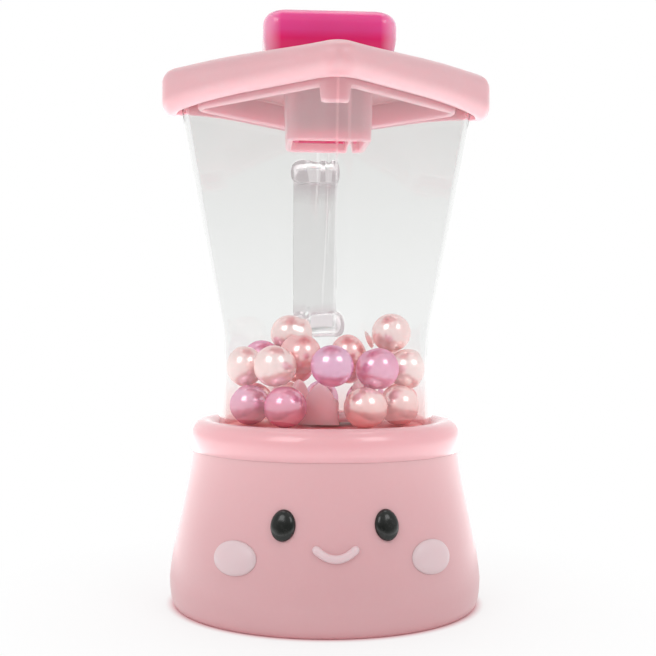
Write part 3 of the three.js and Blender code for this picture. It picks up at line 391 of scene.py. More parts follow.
def rectangle_rings(half_x, half_y, corner, height, arc=14, straight=6):
    """Rings of rounded rectangles, one for each level: (half - corner) times the corner's signs plus corner
    times the outward direction, with the signs sliding along the straight sides."""
    quarter = np.arange(4)[:, None]
    angle = (quarter + np.concatenate([np.linspace(0, 1, arc + 1), np.ones(straight - 1)])) * (np.pi / 2)
    slide = np.concatenate([np.zeros(arc + 1), np.arange(1, straight) / straight])
    sign_x, sign_y = np.array([1.0, -1, -1, 1]), np.array([1.0, 1, -1, -1])
    along_x = sign_x[:, None] + slide * (np.roll(sign_x, -1) - sign_x)[:, None]
    along_y = sign_y[:, None] + slide * (np.roll(sign_y, -1) - sign_y)[:, None]
    half_x, half_y, corner, height = (np.asarray(given, float)[:, None]
                                      for given in (half_x, half_y, corner, height))
    x = (half_x - corner) * along_x.ravel() + corner * np.cos(angle).ravel()
    y = (half_y - corner) * along_y.ravel() + corner * np.sin(angle).ravel()
    return np.stack([x, y, np.broadcast_to(height, x.shape)], -1)


# Shader node groups: shared effects, with every shader kept in its own material

WHITE = (1, 1, 1, 1)
RESULT_KINDS = {"Colour": "Color", "Roughness": "Float", "Coat": "Float", "Normal": "Vector"}
SURFACE = {"Colour": "Base Color", "Roughness": "Roughness", "Normal": "Normal"}


def new_group(name, results, **inputs):
    """An empty group, with the sockets that bring its inputs in and those that take its results. An input's
    kind follows from its value, a colour or a number."""
    group = bpy.data.node_groups.new(name, "ShaderNodeTree")
    for label, value in inputs.items():
        kind = "Color" if isinstance(value, tuple) else "Float"
        socket = group.interface.new_socket(label.replace("_", " "), in_out="INPUT",
                                            socket_type="NodeSocket" + kind)
        socket.default_value = value
    for label in results.split():
        group.interface.new_socket(label, in_out="OUTPUT", socket_type="NodeSocket" + RESULT_KINDS[label])
    return group, group.nodes.new("NodeGroupInput").outputs, group.nodes.new("NodeGroupOutput").inputs


def node(tree, kind, settings=(), **values):
    """A shader node with its settings, and for each input, by its name or by i and its number, a plain value
    or a link to another node's socket."""
    made = tree.nodes.new("ShaderNode" + kind)
    for key, value in dict(settings).items():
        setattr(made, key, value)
    for key, value in values.items():
        socket = made.inputs[int(key[1:]) if key[1:].isdigit() else key.replace("_", " ")]
        if isinstance(value, bpy.types.NodeSocket):
            tree.links.new(value, socket)
        else:
            socket.default_value = value
    return made


def own_place(tree):
    """Where a point lies in its object, in metres."""
    return node(tree, "TexCoord").outputs["Object"]


def math_node(tree, operation, a, b=0.0):
    """The result of one operation on one or two values. The five below are the common ones."""
    return node(tree, "Math", {"operation": operation}, i0=a, i1=b).outputs[0]


def operator(operation):
    return lambda tree, a, b=0.0: math_node(tree, operation, a, b)


times, plus, minus = operator("MULTIPLY"), operator("ADD"), operator("SUBTRACT")
larger, size_of = operator("MAXIMUM"), operator("ABSOLUTE")


def noise(tree, place, scale, detail=3.0, roughness=0.5):
    """Smooth noise, about 0.5, with so many waves to the metre."""
    return node(tree, "TexNoise", Vector=place, Scale=scale, Detail=detail, Roughness=roughness).outputs[0]


def mapped(tree, value, low, high, to_low, to_high):
    """A value carried in a straight line from one range to another, and held at its ends."""
    return node(tree, "MapRange", {"clamp": True}, Value=value, From_Min=low, From_Max=high, To_Min=to_low,
                To_Max=to_high).outputs[0]


def mixed(tree, share, a, b, blend="MIX"):
    """Colour a with a share of colour b in it."""
    return node(tree, "Mix", {"data_type": "RGBA", "blend_type": blend}, i0=share, i6=a, i7=b).outputs[2]


def put_out(group, given, results, colour, spread, bump, **more):
    """Links the results of a group: its colour, its gloss with a spread added, its bumps, and any more."""
    rough = plus(group, given["Gloss"], spread)
    for label, value in dict(Colour=colour, Roughness=rough, Normal=bump.outputs[0], **more).items():
        group.links.new(value, results[label])
    return group


def moulded_skin():
    """Moulded plastic: cloudy colour where pigment has not mixed fully, uneven gloss with faint rub marks,
    and a slow ripple with a fine grain in the surface."""
    group, given, results = new_group(
        "moulded skin", "Colour Roughness Normal", Colour=(0.8, 0.8, 0.8, 1), Cloud=0.05, Gloss=0.3,
        Gloss_Spread=0.08, Ripple=0.2, Grain=0.05)
    place = own_place(group)
    cloud = noise(group, place, 38, 4)
    fine = noise(group, place, 900, 3, 0.6)
    dark = mixed(group, 1.0, given["Colour"], (0.82, 0.7, 0.72, 1), "MULTIPLY")
    pale = mixed(group, 0.35, given["Colour"], (1, 0.93, 0.93, 1))
    depth = times(group, mapped(group, cloud, 0.35, 0.65, 0, 1), given["Cloud"])
    lift = times(group, mapped(group, fine, 0.5, 0.75, 0, 1), given["Cloud"])
    clouded = mixed(group, depth, given["Colour"], dark)
    rubs = node(group, "TexNoise", Vector=place, Scale=160.0, Detail=5.0, Distortion=1.6).outputs[0]
    spread = times(group, mapped(group, rubs, 0.3, 0.75, -1, 1), given["Gloss Spread"])
    ripple = node(group, "Bump", Strength=given["Ripple"], Distance=0.0004, Height=noise(group, place, 70, 2))
    grain = node(group, "Bump", Strength=given["Grain"], Distance=0.00004,
                 Height=noise(group, place, 2600, 2), Normal=ripple.outputs[0])
    return put_out(group, given, results, mixed(group, lift, clouded, pale), spread, grain)


def streaks_and_painted_light():
    """Clear moulding: painted shade and painted reflection, a tint that deepens towards a high and a low
    level, thin painted highlights, pale lines where the wall turns its corners on the X and Y axes, long
    streaks along the pull of the mould that bend what is seen through them a little, and fine hair scratches
    in the gloss."""
    group, given, results = new_group(
        "flow streaks and painted light", "Colour Roughness Normal", Colour=WHITE, Shade=(0.9, 0.9, 0.9, 1), Low=0.04,
        High=0.13, Foot_Shade=(0.9, 0.7, 0.7, 1), Foot_Low=0.044, Foot_High=0.058, Line=0.001, Streak=0.2,
        Gloss=0.02)
    place = own_place(group)
    x, y, z = node(group, "SeparateXYZ", Vector=place).outputs
    # Painted shade: the tint deepens towards the high level
    climb = mapped(group, z, given["Low"], given["High"], 0, 1)
    above = mixed(group, climb, given["Colour"], given["Shade"])
    # Painted tint near the low level: shade on the handle, and a pink reflection of the parts inside on the
    # jar
    sink = mapped(group, z, given["Foot Low"], given["Foot High"], 1, 0)
    tint = mixed(group, sink, above, given["Foot Shade"])
    # Painted highlight: a pale line along the corners on the X and Y axes, fading in above the foot
    beside = math_node(group, "MINIMUM", size_of(group, x), size_of(group, y))
    sharp = mapped(group, z, given["Foot High"], 0.08, 0, 0.85)
    line = mapped(group, beside, 0, given["Line"], sharp, 0)
    drawn = node(group, "Mapping", Vector=place, Scale=(1, 1, 0.09)).outputs[0]
    streak = node(group, "Bump", Strength=given["Streak"], Distance=0.0003,
                  Height=noise(group, drawn, 120, 2))
    hair = node(group, "Mapping", Vector=place, Scale=(1, 1, 0.12), Rotation=(0.3, 0.2, 0)).outputs[0]
    scratch = mapped(group, noise(group, hair, 1500, 3, 0.6), 0.62, 0.8, 0, 0.12)
    spread = plus(group, scratch, times(group, line, 0.22))
    return put_out(group, given, results, mixed(group, line, tint, WHITE), spread, streak)


def pearl_lustre():
    """Pearl lacquer: a base colour with slow milky clouds, and very fine flakes in its colour, gloss, coat
    and surface."""
    group, given, results = new_group(
        "pearl lustre", "Colour Roughness Coat Normal", Colour=(1, 0.8, 0.8, 1), Milk=(1, 0.95, 0.95, 1),
        Share=0.4, Gloss=0.25)
    place = own_place(group)
    cloud = mapped(group, noise(group, place, 170, 2), 0.3, 0.7, 0, 1)
    share = times(group, cloud, given["Share"])
    milky = mixed(group, share, given["Colour"], given["Milk"])
    flakes = node(group, "TexVoronoi", {"feature": "F1"}, Vector=place, Scale=6000.0).outputs["Distance"]
    glint = mapped(group, flakes, 0.1, 0.6, 0.15, 0)
    bump = node(group, "Bump", Strength=0.12, Distance=0.00003, Height=flakes)
    return put_out(group, given, results, mixed(group, glint, milky, WHITE),
                   mapped(group, cloud, 0, 1, -0.02, 0.04), bump, Coat=mapped(group, cloud, 0, 1, 0.9, 1.0))


def painted_light_and_shade():
    """Translucent moulding with painted light: a painted sheen that makes it paler where its wall turns the
    corners, a painted highlight at the crown and painted shade that makes it deeper near its foot, all eased,
    with a slow cloud in the tint and in the gloss."""
    group, given, results = new_group(
        "painted light and shade", "Colour Roughness Normal", Colour=(0.7, 0.06, 0.22, 1), Deep=(0.7, 0.01, 0.15, 1),
        Pale=(0.8, 0.4, 0.6, 1), Half_Length=CAP_HALF_X, Half_Width=CAP_HALF_Y, Crown=0.147, Deep_Top=0.1405,
        Gloss=0.15)
    place = own_place(group)
    x, y, z = node(group, "SeparateXYZ", Vector=place).outputs
    cloud = noise(group, place, 90, 3)
    # Painted shade: the colour deepens near the foot
    above = minus(group, z, given["Deep Top"])
    body = mixed(group, mapped(group, above, -0.0012, 0.0008, 1, 0), given["Colour"], given["Deep"])
    from_end = minus(group, given["Half Length"], size_of(group, x))
    from_side = minus(group, given["Half Width"], size_of(group, y))
    # Painted sheen at the corners and a painted highlight at the crown
    corners = times(group, mapped(group, from_end, 0.0, 0.0044, 0.85, 0),
                    mapped(group, from_side, 0.0046, 0.0085, 1, 0))
    from_top = minus(group, given["Crown"], z)
    pale = larger(group, corners, mapped(group, from_top, 0, 0.0014, 0.6, 0))
    uneven = times(group, pale, mapped(group, cloud, 0.3, 0.7, 0.85, 1.1))
    bump = node(group, "Bump", Strength=0.08, Distance=0.0002, Height=cloud)
    return put_out(group, given, results, mixed(group, uneven, body, given["Pale"]),
                   mapped(group, cloud, 0.3, 0.7, -0.03, 0.05), bump)


def brushed_metal():
    """Drawn or plated metal: fine lines along Z, cloudy gloss and a little tarnish."""
    group, given, results = new_group(
        "brushed metal", "Colour Roughness Normal", Colour=(0.7, 0.7, 0.7, 1), Tarnish=(0.4, 0.36, 0.3, 1),
        Gloss=0.3)
    place = own_place(group)
    cloud = noise(group, place, 240, 4)
    spots = mapped(group, cloud, 0.52, 0.8, 0, 0.5)
    drawn = node(group, "Mapping", Vector=place, Scale=(1, 1, 0.03)).outputs[0]
    bump = node(group, "Bump", Strength=0.25, Distance=0.00002, Height=noise(group, drawn, 4200, 2))
    return put_out(group, given, results, mixed(group, spots, given["Colour"], given["Tarnish"]),
                   mapped(group, cloud, 0.3, 0.7, -0.06, 0.12), bump)


MOULDED, STREAKS_AND_PAINTED_LIGHT, LUSTRE, BRUSHED = moulded_skin(), streaks_and_painted_light(), pearl_lustre(), brushed_metal()
PAINTED_LIGHT_AND_SHADE = painted_light_and_shade()


# Materials

def linear(red, green, blue):
    """A colour written as 0 to 255 display values, as the linear values that a shader takes."""
    return tuple(((v / 255 + 0.055) / 1.055) ** 2.4 if v > 10 else v / 255 / 12.92
                 for v in (red, green, blue)) + (1.0,)


def new_material(name, group=None, given=None, **own):
    """A material with one shader. A shared effect with its given values feeds the shader's colour, roughness
    and normal, and the shader's other sockets have values of their own."""
    material = bpy.data.materials.new(name)
    material.use_nodes = True
    tree = material.node_tree
    tree.nodes.clear()
    effect = node(tree, "Group", {"node_tree": group}, **given).outputs if group else {}
    fed = {target: effect[source] for source, target in SURFACE.items() if group}
    shader, output = node(tree, "BsdfPrincipled", **fed, **own), node(tree, "OutputMaterial")
    tree.links.new(shader.outputs[0], output.inputs["Surface"])
    return material, tree, effect, shader, output


def blended(tree, share, first, second, output):
    """Shows the first shader with a share of the second in it."""
    mix = node(tree, "MixShader", i0=share, i1=first.outputs[0], i2=second.outputs[0])
    tree.links.new(mix.outputs[0], output.inputs["Surface"])


def plastic(name, colour, gloss=0.3, glow=0.0, glow_depth=0.004, cloud=0.25, ripple=0.12, grain=0.2, coat=0.0,
            spread=0.06):
    """Moulded plastic. Glow is how much light it lets in and scatters under its surface."""
    given = dict(Colour=linear(*colour), Cloud=cloud, Gloss=gloss, Gloss_Spread=spread, Ripple=ripple,
                 Grain=grain)
    return new_material(name, MOULDED, given, IOR=1.5, Coat_Weight=coat, Coat_Roughness=0.3,
                        Subsurface_Weight=glow, Subsurface_Radius=(1.0, 0.5, 0.56),
                        Subsurface_Scale=glow_depth)[0]


def metal(name, colour, tarnish, gloss):
    """Bare or plated metal with a little tarnish."""
    given = dict(Colour=linear(*colour), Tarnish=linear(*tarnish), Gloss=gloss)
    return new_material(name, BRUSHED, given, Metallic=1.0)[0]


def pearl(name, colour, milk):
    """Pearl lacquer over a milky bead. Its silvery gloss is strongest face on and thins out towards the rim,
    where the bead's own colour comes through."""
    given = dict(Colour=linear(*colour), Milk=linear(*milk), Gloss=0.22)
    material, tree, effect, shader, _ = new_material(
        name, LUSTRE, given, Metallic=0.5, IOR=1.3, Coat_Roughness=0.2, Coat_IOR=3.6, Subsurface_Weight=0.5,
        Subsurface_Radius=(1.0, 0.6, 0.6), Subsurface_Scale=0.003)
    facing = node(tree, "LayerWeight", Blend=0.5).outputs["Facing"]
    silver = mapped(tree, facing, 0.42, 0.88, 1.0, 0.0)
    tree.links.new(times(tree, silver, effect["Coat"]), shader.inputs["Coat Weight"])
    return material


def plastic_with_painted_light(name, colour, deep, pale):
    """Translucent coloured plastic: light scatters deep in it and a little passes straight through. Its deep
    colour is painted shade near the foot, and its pale colour a painted sheen and highlight at the corners
    and crown.
    """
    given = dict(Colour=linear(*colour), Deep=linear(*deep), Pale=linear(*pale))
    return new_material(name, PAINTED_LIGHT_AND_SHADE, given, Transmission_Weight=0.12, IOR=1.45, Subsurface_Weight=0.5,
                        Subsurface_Radius=(1.0, 0.3, 0.5), Subsurface_Scale=0.002, Coat_Weight=0.3,
                        Coat_Roughness=0.06)[0]


def clear_plastic(name, ior, lamp_tint, straight=0.0, **given):
    """Clear plastic that bends light. Rays from lamps and light scattered by what is inside pass it as if
    through a tinted film, so that the inside is lit. So do a share of what is seen, and light that would
    otherwise be trapped in the wall."""
    material, tree, _, shader, output = new_material(name, STREAKS_AND_PAINTED_LIGHT, given, Transmission_Weight=1.0, IOR=ior)
    path = node(tree, "LightPath").outputs
    unseen = larger(tree, path["Is Shadow Ray"], path["Is Diffuse Ray"])
    trapped = math_node(tree, "GREATER_THAN", path["Ray Depth"], CLEAR_DEPTH)
    share = larger(tree, larger(tree, unseen, trapped), straight)
    blended(tree, share, shader, node(tree, "BsdfTransparent", Color=lamp_tint), output)
    return material


base_pink = plastic("base pink", (232, 181, 185), gloss=0.38, glow=0.2, glow_depth=0.003, cloud=0.06,
                    ripple=0.05, grain=0.08, spread=0.03, coat=0.25)
ring_pink = plastic("ring pink", (240, 180, 186), gloss=0.15, glow=0.25, cloud=0.05, ripple=0.04,
                    grain=0.04, spread=0.03, coat=0.4)
lid_pink = plastic("lid pink", (202, 162, 167), gloss=0.36, glow=0.8, glow_depth=0.008, cloud=0.05,
                   ripple=0.05, grain=0.05, spread=0.03, coat=0.4)
floor_pink = plastic("jar floor pink", (246, 150, 154), gloss=0.36, glow=0.5, cloud=0.08,
                     ripple=0.06, spread=0.03)
blade_pink = plastic("blade pink", (255, 206, 212), gloss=0.5, glow=1.0, cloud=0.08, ripple=0.05,
                     grain=0.1)
face_black = plastic("face black", (20, 23, 20), gloss=0.2, cloud=0.05, ripple=0.03, grain=0.03,
                     spread=0.03)
face_cream = plastic("face cream", (238, 208, 212), gloss=0.36, glow=0.2, cloud=0.04, ripple=0.03,
                     grain=0.04, spread=0.03)
white_plastic = plastic("white plastic", (228, 226, 223), gloss=0.45)
dark_plastic = plastic("dark plastic", (43, 45, 48), gloss=0.48, grain=0.6)
cell_wrap = plastic("cell wrap", (60, 110, 87), gloss=0.32, ripple=0.3)
red_lead = plastic("red lead", (179, 38, 42), gloss=0.5)
black_lead = plastic("black lead", (34, 34, 34), gloss=0.5)
steel = metal("steel", (190, 193, 197), (128, 124, 116), 0.3)
brass = metal("brass", (205, 170, 100), (140, 104, 52), 0.32)
# The jar's grey tint that deepens towards its top is painted shade, its pink tint at the foot is a painted
# reflection of the pink parts inside, and its pale corner lines are painted highlights
jar_clear = clear_plastic("clear jar", 1.46, (0.985, 0.985, 0.985, 1), Colour=(0.955, 0.96, 0.957, 1),
                          Shade=(0.835, 0.84, 0.832, 1), Low=0.05, High=0.132,
                          Foot_Shade=(0.93, 0.74, 0.73, 1), Foot_Low=0.045, Foot_High=0.057, Line=0.0005,
                          Streak=0.06, Gloss=0.015)
# The handle's darker tint on its upper and lower arms is painted shade, where they are seen end on
handle_clear = clear_plastic("clear handle", 1.16, (0.93, 0.92, 0.92, 1), straight=0.3,
                             Colour=(0.8, 0.795, 0.795, 1), Shade=(0.5, 0.41, 0.44, 1), Low=0.105,
                             High=0.1115, Foot_Shade=(0.56, 0.44, 0.48, 1), Foot_Low=0.0715,
                             Foot_High=0.0765, Line=0.0003, Streak=0.04, Gloss=0.02)
# The cap's deep colour is painted shade near its foot, and its pale colour a painted sheen and highlight at
# its corners and crown
cap_clear = plastic_with_painted_light("cap magenta", (234, 72, 148), (240, 28, 118), (244, 190, 212))
pearls = {
    "pearl_pale": pearl("pale pearl", (255, 208, 204), (255, 238, 232)),
    "pearl_rose": pearl("rose pearl", (250, 156, 156), (252, 198, 196)),
    "pearl_lilac": pearl("lilac pearl", (222, 128, 182), (238, 184, 220)),
    "pearl_magenta": pearl("magenta pearl", (224, 90, 156), (236, 152, 200)),
}


# Base casing

def casing_radius(height):
    """Radius of the casing's side: a quarter ellipse from foot to belly, then a flare from neck to belly that
    is half eased (3 t^2 - 2 t^3) and half straight in t, the share of the way down."""
    height = np.asarray(height, float)
    rise = np.clip(1 - height / CASING_BELLY_HEIGHT, 0, 1)
    foot = CASING_FOOT + (CASING_BELLY - CASING_FOOT) * np.sqrt(1 - rise ** 2)
    down = np.clip((deck_top - height) / (deck_top - CASING_BELLY_HEIGHT), 0, 1)
    flare = CASING_FLARE_SHARE * down ** 2 * (3 - 2 * down) + (1 - CASING_FLARE_SHARE) * down
    side = CASING_NECK + (CASING_BELLY - CASING_NECK) * flare
    return np.where(height < CASING_BELLY_HEIGHT, foot, side)


deck_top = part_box("base_shell")[1].z
cover_top = COVER_GAP + COVER_THICKNESS


def casing_heights(low, high, steps):
    """Heights that crowd towards the foot, where the side curves most: even in the angle of its ellipse,
    and even above the belly."""
    angle = np.linspace(0, np.pi / 2, 18)[:-1]
    foot = CASING_BELLY_HEIGHT * (1 - np.cos(angle))
    return np.concatenate([foot[foot >= low], np.linspace(CASING_BELLY_HEIGHT, high, steps)])


def casing():
    """The shell turned about the axis, with its screw bosses and the motor's two pegs, each with a head on a
    thin neck. The side stops a little short of the deck on both faces."""
    outer_height = casing_heights(0, deck_top - CASING_STOP, 44)
    outer = np.stack([casing_radius(outer_height), outer_height], -1)
    deck_bottom = deck_top - CASING_WALL
    post_top = deck_bottom + POST_BURIED
    inner_height = casing_heights(cover_top, deck_bottom - CASING_INSIDE_STOP, 24)[::-1]
    inner = np.stack([casing_radius(inner_height) - CASING_WALL, inner_height], -1)
    deck = rounded([(CASING_NECK, deck_top), (CASING_HOLE, deck_top), (CASING_HOLE, deck_bottom),
                    (casing_radius(deck_bottom) - CASING_WALL, deck_bottom)],
                   [0, CASING_EDGE, CASING_EDGE, 0], 4)
    seat = rounded([(CASING_SEAT, cover_top), (CASING_SEAT, 0), (CASING_FOOT, 0)],
                   [0, CASING_SEAT_EDGE, 0], 2)
    shell = skin(turned(np.concatenate([outer, deck, inner, seat])), closed=True)

    def post(corners, roundings, centre):
        """A turned post whose last run goes up into the deck."""
        corners = [*corners, (corners[-1][0], post_top), (0, post_top)]
        return skin(turned(rounded(corners, [*roundings, 0, 0], 3)[1:-1], 40, centre))

    boss = [(0, BOSS_BORE_TOP), (BOSS_BORE, BOSS_BORE_TOP), (BOSS_BORE, cover_top), (BOSS_RADIUS, cover_top)]
    peg = [(0, PEG_HEAD_BOTTOM), (PEG_HEAD_RADIUS, PEG_HEAD_BOTTOM), (PEG_HEAD_RADIUS, PEG_HEAD_TOP),
           (PEG_NECK_RADIUS, PEG_HEAD_TOP), (PEG_NECK_RADIUS, PEG_NECK_TOP), (PEG_RADIUS, PEG_NECK_TOP)]
    posts = [post(boss, [0, POST_EDGE, POST_EDGE, POST_EDGE],
                  (SCREW_CIRCLE * math.cos(turn), SCREW_CIRCLE * math.sin(turn)))
             for turn in map(math.radians, SCREW_DEGREES)]
    posts += [post(peg, [0, CASING_EDGE, CASING_SEAT_EDGE, 0, 0, POST_EDGE], (side * PEG_PLACE, 0))
              for side in (-1, 1)]
    return joined("casing", shell, posts)


def rim_ring():
    """A ring whose outside is round and whose inside is the jar's rounded square: an undercut arc up to the
    widest line, a quarter arc to the crown and one that dips to the socket's edge, then its wall."""
    low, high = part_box("rim_ring")
    bottom, crown = deck_top, high.z
    waist = low.z + RING_WAIST_RISE
    ledge = crown - RING_LEDGE_DROP
    angle = directions()
    socket = corner_radius(SOCKET_REACH, SOCKET_CORNER, angle)
    turn = np.linspace(0, np.pi / 2, 17)[:, None]
    even = np.ones_like(angle)
    under = (RING_WAIST - RING_UNDERCUT * (1 - np.sin(turn))) * even
    over = (RING_CROWN + (RING_WAIST - RING_CROWN) * np.cos(turn[1:])) * even
    dip = RING_CROWN - (RING_CROWN - socket) * np.sin(turn[1:])
    wall_height = np.array([ledge - RING_WALL_START, bottom + RING_EDGE, bottom])
    wall = np.tile(socket, (len(wall_height), 1))
    foot = np.stack([socket + RING_EDGE, (RING_WAIST - RING_UNDERCUT - RING_FOOT_INSET) * even])
    radius = np.concatenate([under, over, dip, wall, foot])
    height = np.concatenate([waist - (waist - bottom) * np.cos(turn[:, 0]),
                             waist + (crown - waist) * np.sin(turn[1:, 0]),
                             ledge + RING_LEDGE_DROP * np.cos(turn[1:, 0]), wall_height, [bottom, bottom]])
    return mesh_of("rim", skin(rings_of(radius, height, angle), closed=True))


# Jar, its handle and its floor

def jar_reach(height):
    """Reach of the jar's corners: level up to the bend, a parabola over it, then a straight taper."""
    above = np.asarray(height, float) - JAR_KINK
    bend = JAR_TAPER * (above + JAR_KINK_BLEND) ** 2 / (4 * JAR_KINK_BLEND)
    upper = np.where(above >= JAR_KINK_BLEND, JAR_TAPER * above, bend)
    return JAR_REACH + np.where(above <= -JAR_KINK_BLEND, 0, upper)


def jar_corner(height):
    """Corner radius: wide at the collar, fading exponentially to the tight corners of the top."""
    above = np.maximum(0, np.asarray(height, float) - JAR_COLLAR_TOP)
    return JAR_TOP_CORNER + (JAR_CORNER - JAR_TOP_CORNER) * np.exp(-above / JAR_CORNER_FADE)


def jar_wall(offset, height, angle, at=None):
    """Rings of the jar's section at each height, moved out by offset and put at other heights if given."""
    reach, corner = jar_reach(height) + offset, jar_corner(height) + offset
    radius = corner_radius(reach[:, None], corner[:, None], angle)
    return rings_of(radius, height if at is None else at, angle)


def jar():
    """Outer wall and handle joined, less the inside. The rim and the lower edge are rounded by drawing the
    end rings in by a quarter circle."""
    low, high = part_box("jar")
    angle = directions()
    turn = np.linspace(0, np.pi / 2, 5)
    collar = np.linspace(low.z + JAR_EDGE, JAR_COLLAR_TOP, 10)
    bend = np.linspace(JAR_COLLAR_TOP, JAR_FINE_TOP, 30)[1:]
    height = np.concatenate([low.z + JAR_EDGE * (1 - np.cos(turn)), collar[1:], bend,
                             np.linspace(JAR_FINE_TOP, high.z - JAR_EDGE, 36)[1:],
                             high.z - JAR_EDGE + JAR_EDGE * np.sin(turn[1:])])
    ease = np.clip(1 - np.minimum(height - low.z, high.z - height) / JAR_EDGE, 0, 1)
    outer = skin(jar_wall(-JAR_EDGE * (1 - np.sqrt(1 - ease ** 2)), height, angle))
    inner_height = np.concatenate([[low.z], collar, bend, np.linspace(JAR_FINE_TOP, high.z, 36)[1:]])
    at = inner_height.copy()
    at[0], at[-1] = low.z - JAR_CUTTER_OVER, high.z + JAR_CUTTER_OVER
    inside = skin(jar_wall(-JAR_WALL, inner_height, angle, at))
    return joined("clear_jar", outer, [handle()], [inside])


def handle():
    """A rounded bar carried along a loop in the YZ plane. Its section grows by a fillet near the jar."""
    half = HANDLE_HALF_THICKNESS
    top, bottom = HANDLE_TOP - half, HANDLE_BOTTOM + half
    route = rounded([(float(jar_reach(top)) - HANDLE_INSET, top), (HANDLE_TOP_REACH - half, top),
                     (HANDLE_BOTTOM_REACH - half, bottom), (float(jar_reach(bottom)) - HANDLE_INSET, bottom)],
                    [0, HANDLE_BEND, HANDLE_BEND, 0], 24)
    length = np.concatenate([[0], np.cumsum(np.linalg.norm(np.diff(route, axis=0), axis=1))])
    ends = HANDLE_END_RUN * np.linspace(0, 1, 16) ** 1.5
    stations = np.concatenate([ends, np.linspace(ends[-1], length[-1] - ends[-1], 90)[1:-1],
                               (length[-1] - ends)[::-1]])
    y, z = np.interp(stations, length, route[:, 0]), np.interp(stations, length, route[:, 1])
    tangent = np.gradient(np.stack([y, z], -1), axis=0)
    tangent /= np.linalg.norm(tangent, axis=1, keepdims=True)
    away = np.minimum(stations, length[-1] - stations)
    grown = HANDLE_FILLET * np.clip(1 - (away - HANDLE_INSET) / HANDLE_FILLET_RUN, 0, 1) ** 2
    section = rectangle_rings(HANDLE_HALF_WIDTH + grown, half + grown, HANDLE_CORNER + grown, stations, 10, 4)
    across, through = section[..., 0], section[..., 1]
    return skin(np.stack([across, y[:, None] - through * tangent[:, 1, None],
                          z[:, None] + through * tangent[:, 0, None]], -1))


def mark_handle(mesh):
    """Gives the handle's finish to the faces whose middle lies outside the jar's outer wall."""
    mesh.materials.append(handle_clear)
    middle = np.empty(3 * len(mesh.polygons))
    mesh.polygons.foreach_get("center", middle)
    x, y, z = middle.reshape(-1, 3).T
    wall = corner_radius(jar_reach(z), jar_corner(z), np.arctan2(x, -y))
    mesh.polygons.foreach_set("material_index", (np.hypot(x, y) > wall + 0.0001).astype(np.int32))
    mesh.update()


def jar_floor():
    """A plug with a flange below it: levels of rounded squares outside, circles inside."""
    low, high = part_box("jar_floor")
    flange_top = low.z + FLANGE_THICKNESS
    under = high.z - FLOOR_PLATE
    angle = directions()
    ring = np.ones_like(angle)
    plug = corner_radius(PLUG_REACH, PLUG_CORNER, angle)
    flange = corner_radius(JAR_REACH, JAR_CORNER, angle)
    edge, wide = FLOOR_EDGE, PLUG_EDGE
    rows = [
        (FLOOR_BORE * ring, under), (FLOOR_BORE * ring, high.z - edge), ((FLOOR_BORE + edge) * ring, high.z),
        ((FLOOR_BORE + 2 * edge) * ring, high.z), (plug - wide - SUPPORT, high.z),
        *[(plug - wide + wide * math.sin(t), high.z - wide + wide * math.cos(t))
          for t in np.linspace(0, np.pi / 2, 7)],
        (plug, flange_top + edge), (plug + PLUG_FOOT_STEP, flange_top), (flange - edge, flange_top),
        (flange, flange_top - edge), (flange, low.z + edge), (flange - edge, low.z),
        (FLOOR_HOLLOW * ring, low.z), (FLOOR_HOLLOW * ring, under - edge),
        ((FLOOR_HOLLOW - edge) * ring, under), ((FLOOR_HOLLOW - 2 * edge) * ring, under)]
    radius = np.stack([row[0] for row in rows])
    return mesh_of("jar_foot", skin(rings_of(radius, [row[1] for row in rows], angle), closed=True))


# Rotor and beads

def fin(turn):
    """A leaf: at each height a superellipse section whose half width follows two quadratic curves that meet
    at the tip, x = w (1-s)^2 + 1.94 w s (1-s), z = 1.5 h s (1-s) + h s^2, thinning to a rounded point."""
    low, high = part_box("blade_rotor")
    share = np.concatenate([np.linspace(0, 0.9, 30), 1 - 0.1 * np.linspace(1, 0.02, 12)[1:] ** 2])[:, None]
    half_width = FIN_HALF_WIDTH * ((1 - share) ** 2 + 1.94 * share * (1 - share))
    height = (high.z - low.z) * (1.5 * share * (1 - share) + share ** 2)
    half_depth = FIN_HALF_THICKNESS * np.minimum(1, half_width / FIN_HALF_THICKNESS) ** 0.6
    angle = steps_round(56)
    power = 0.55
    x = half_width * np.sign(np.cos(angle)) * np.abs(np.cos(angle)) ** power
    y = half_depth * np.sign(np.sin(angle)) * np.abs(np.sin(angle)) ** power - FIN_RADIUS
    c, s = math.cos(turn), math.sin(turn)
    return skin(np.stack([c * x - s * y, s * x + c * y, low.z + height + 0 * x], -1))


def rotor():
    """A disc and a hub on a bored foot, with the leaves standing round it."""
    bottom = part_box("floor_bush")[1].z + BUSH_GAP
    disc_top, hub_top = bottom + DISC_THICKNESS, bottom + HUB_HEIGHT
    shaft_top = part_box("rotor_shaft")[1].z + BUSH_GAP
    outline = rounded([(0, shaft_top), (HUB_BORE, shaft_top), (HUB_BORE, bottom), (DISC_RADIUS, bottom),
                       (DISC_RADIUS, disc_top), (HUB_RADIUS, disc_top), (HUB_RADIUS, hub_top), (0, hub_top)],
                      [0, 0.0001, 0.0001, 0.0004, 0.0004, 0.0006, 0.0011, 0], 6)
    body = skin(turned(outline[1:-1], 96))
    return joined("rotor", body, [fin(FIN_TURN + 2 * np.pi * i / FIN_COUNT) for i in range(FIN_COUNT)])


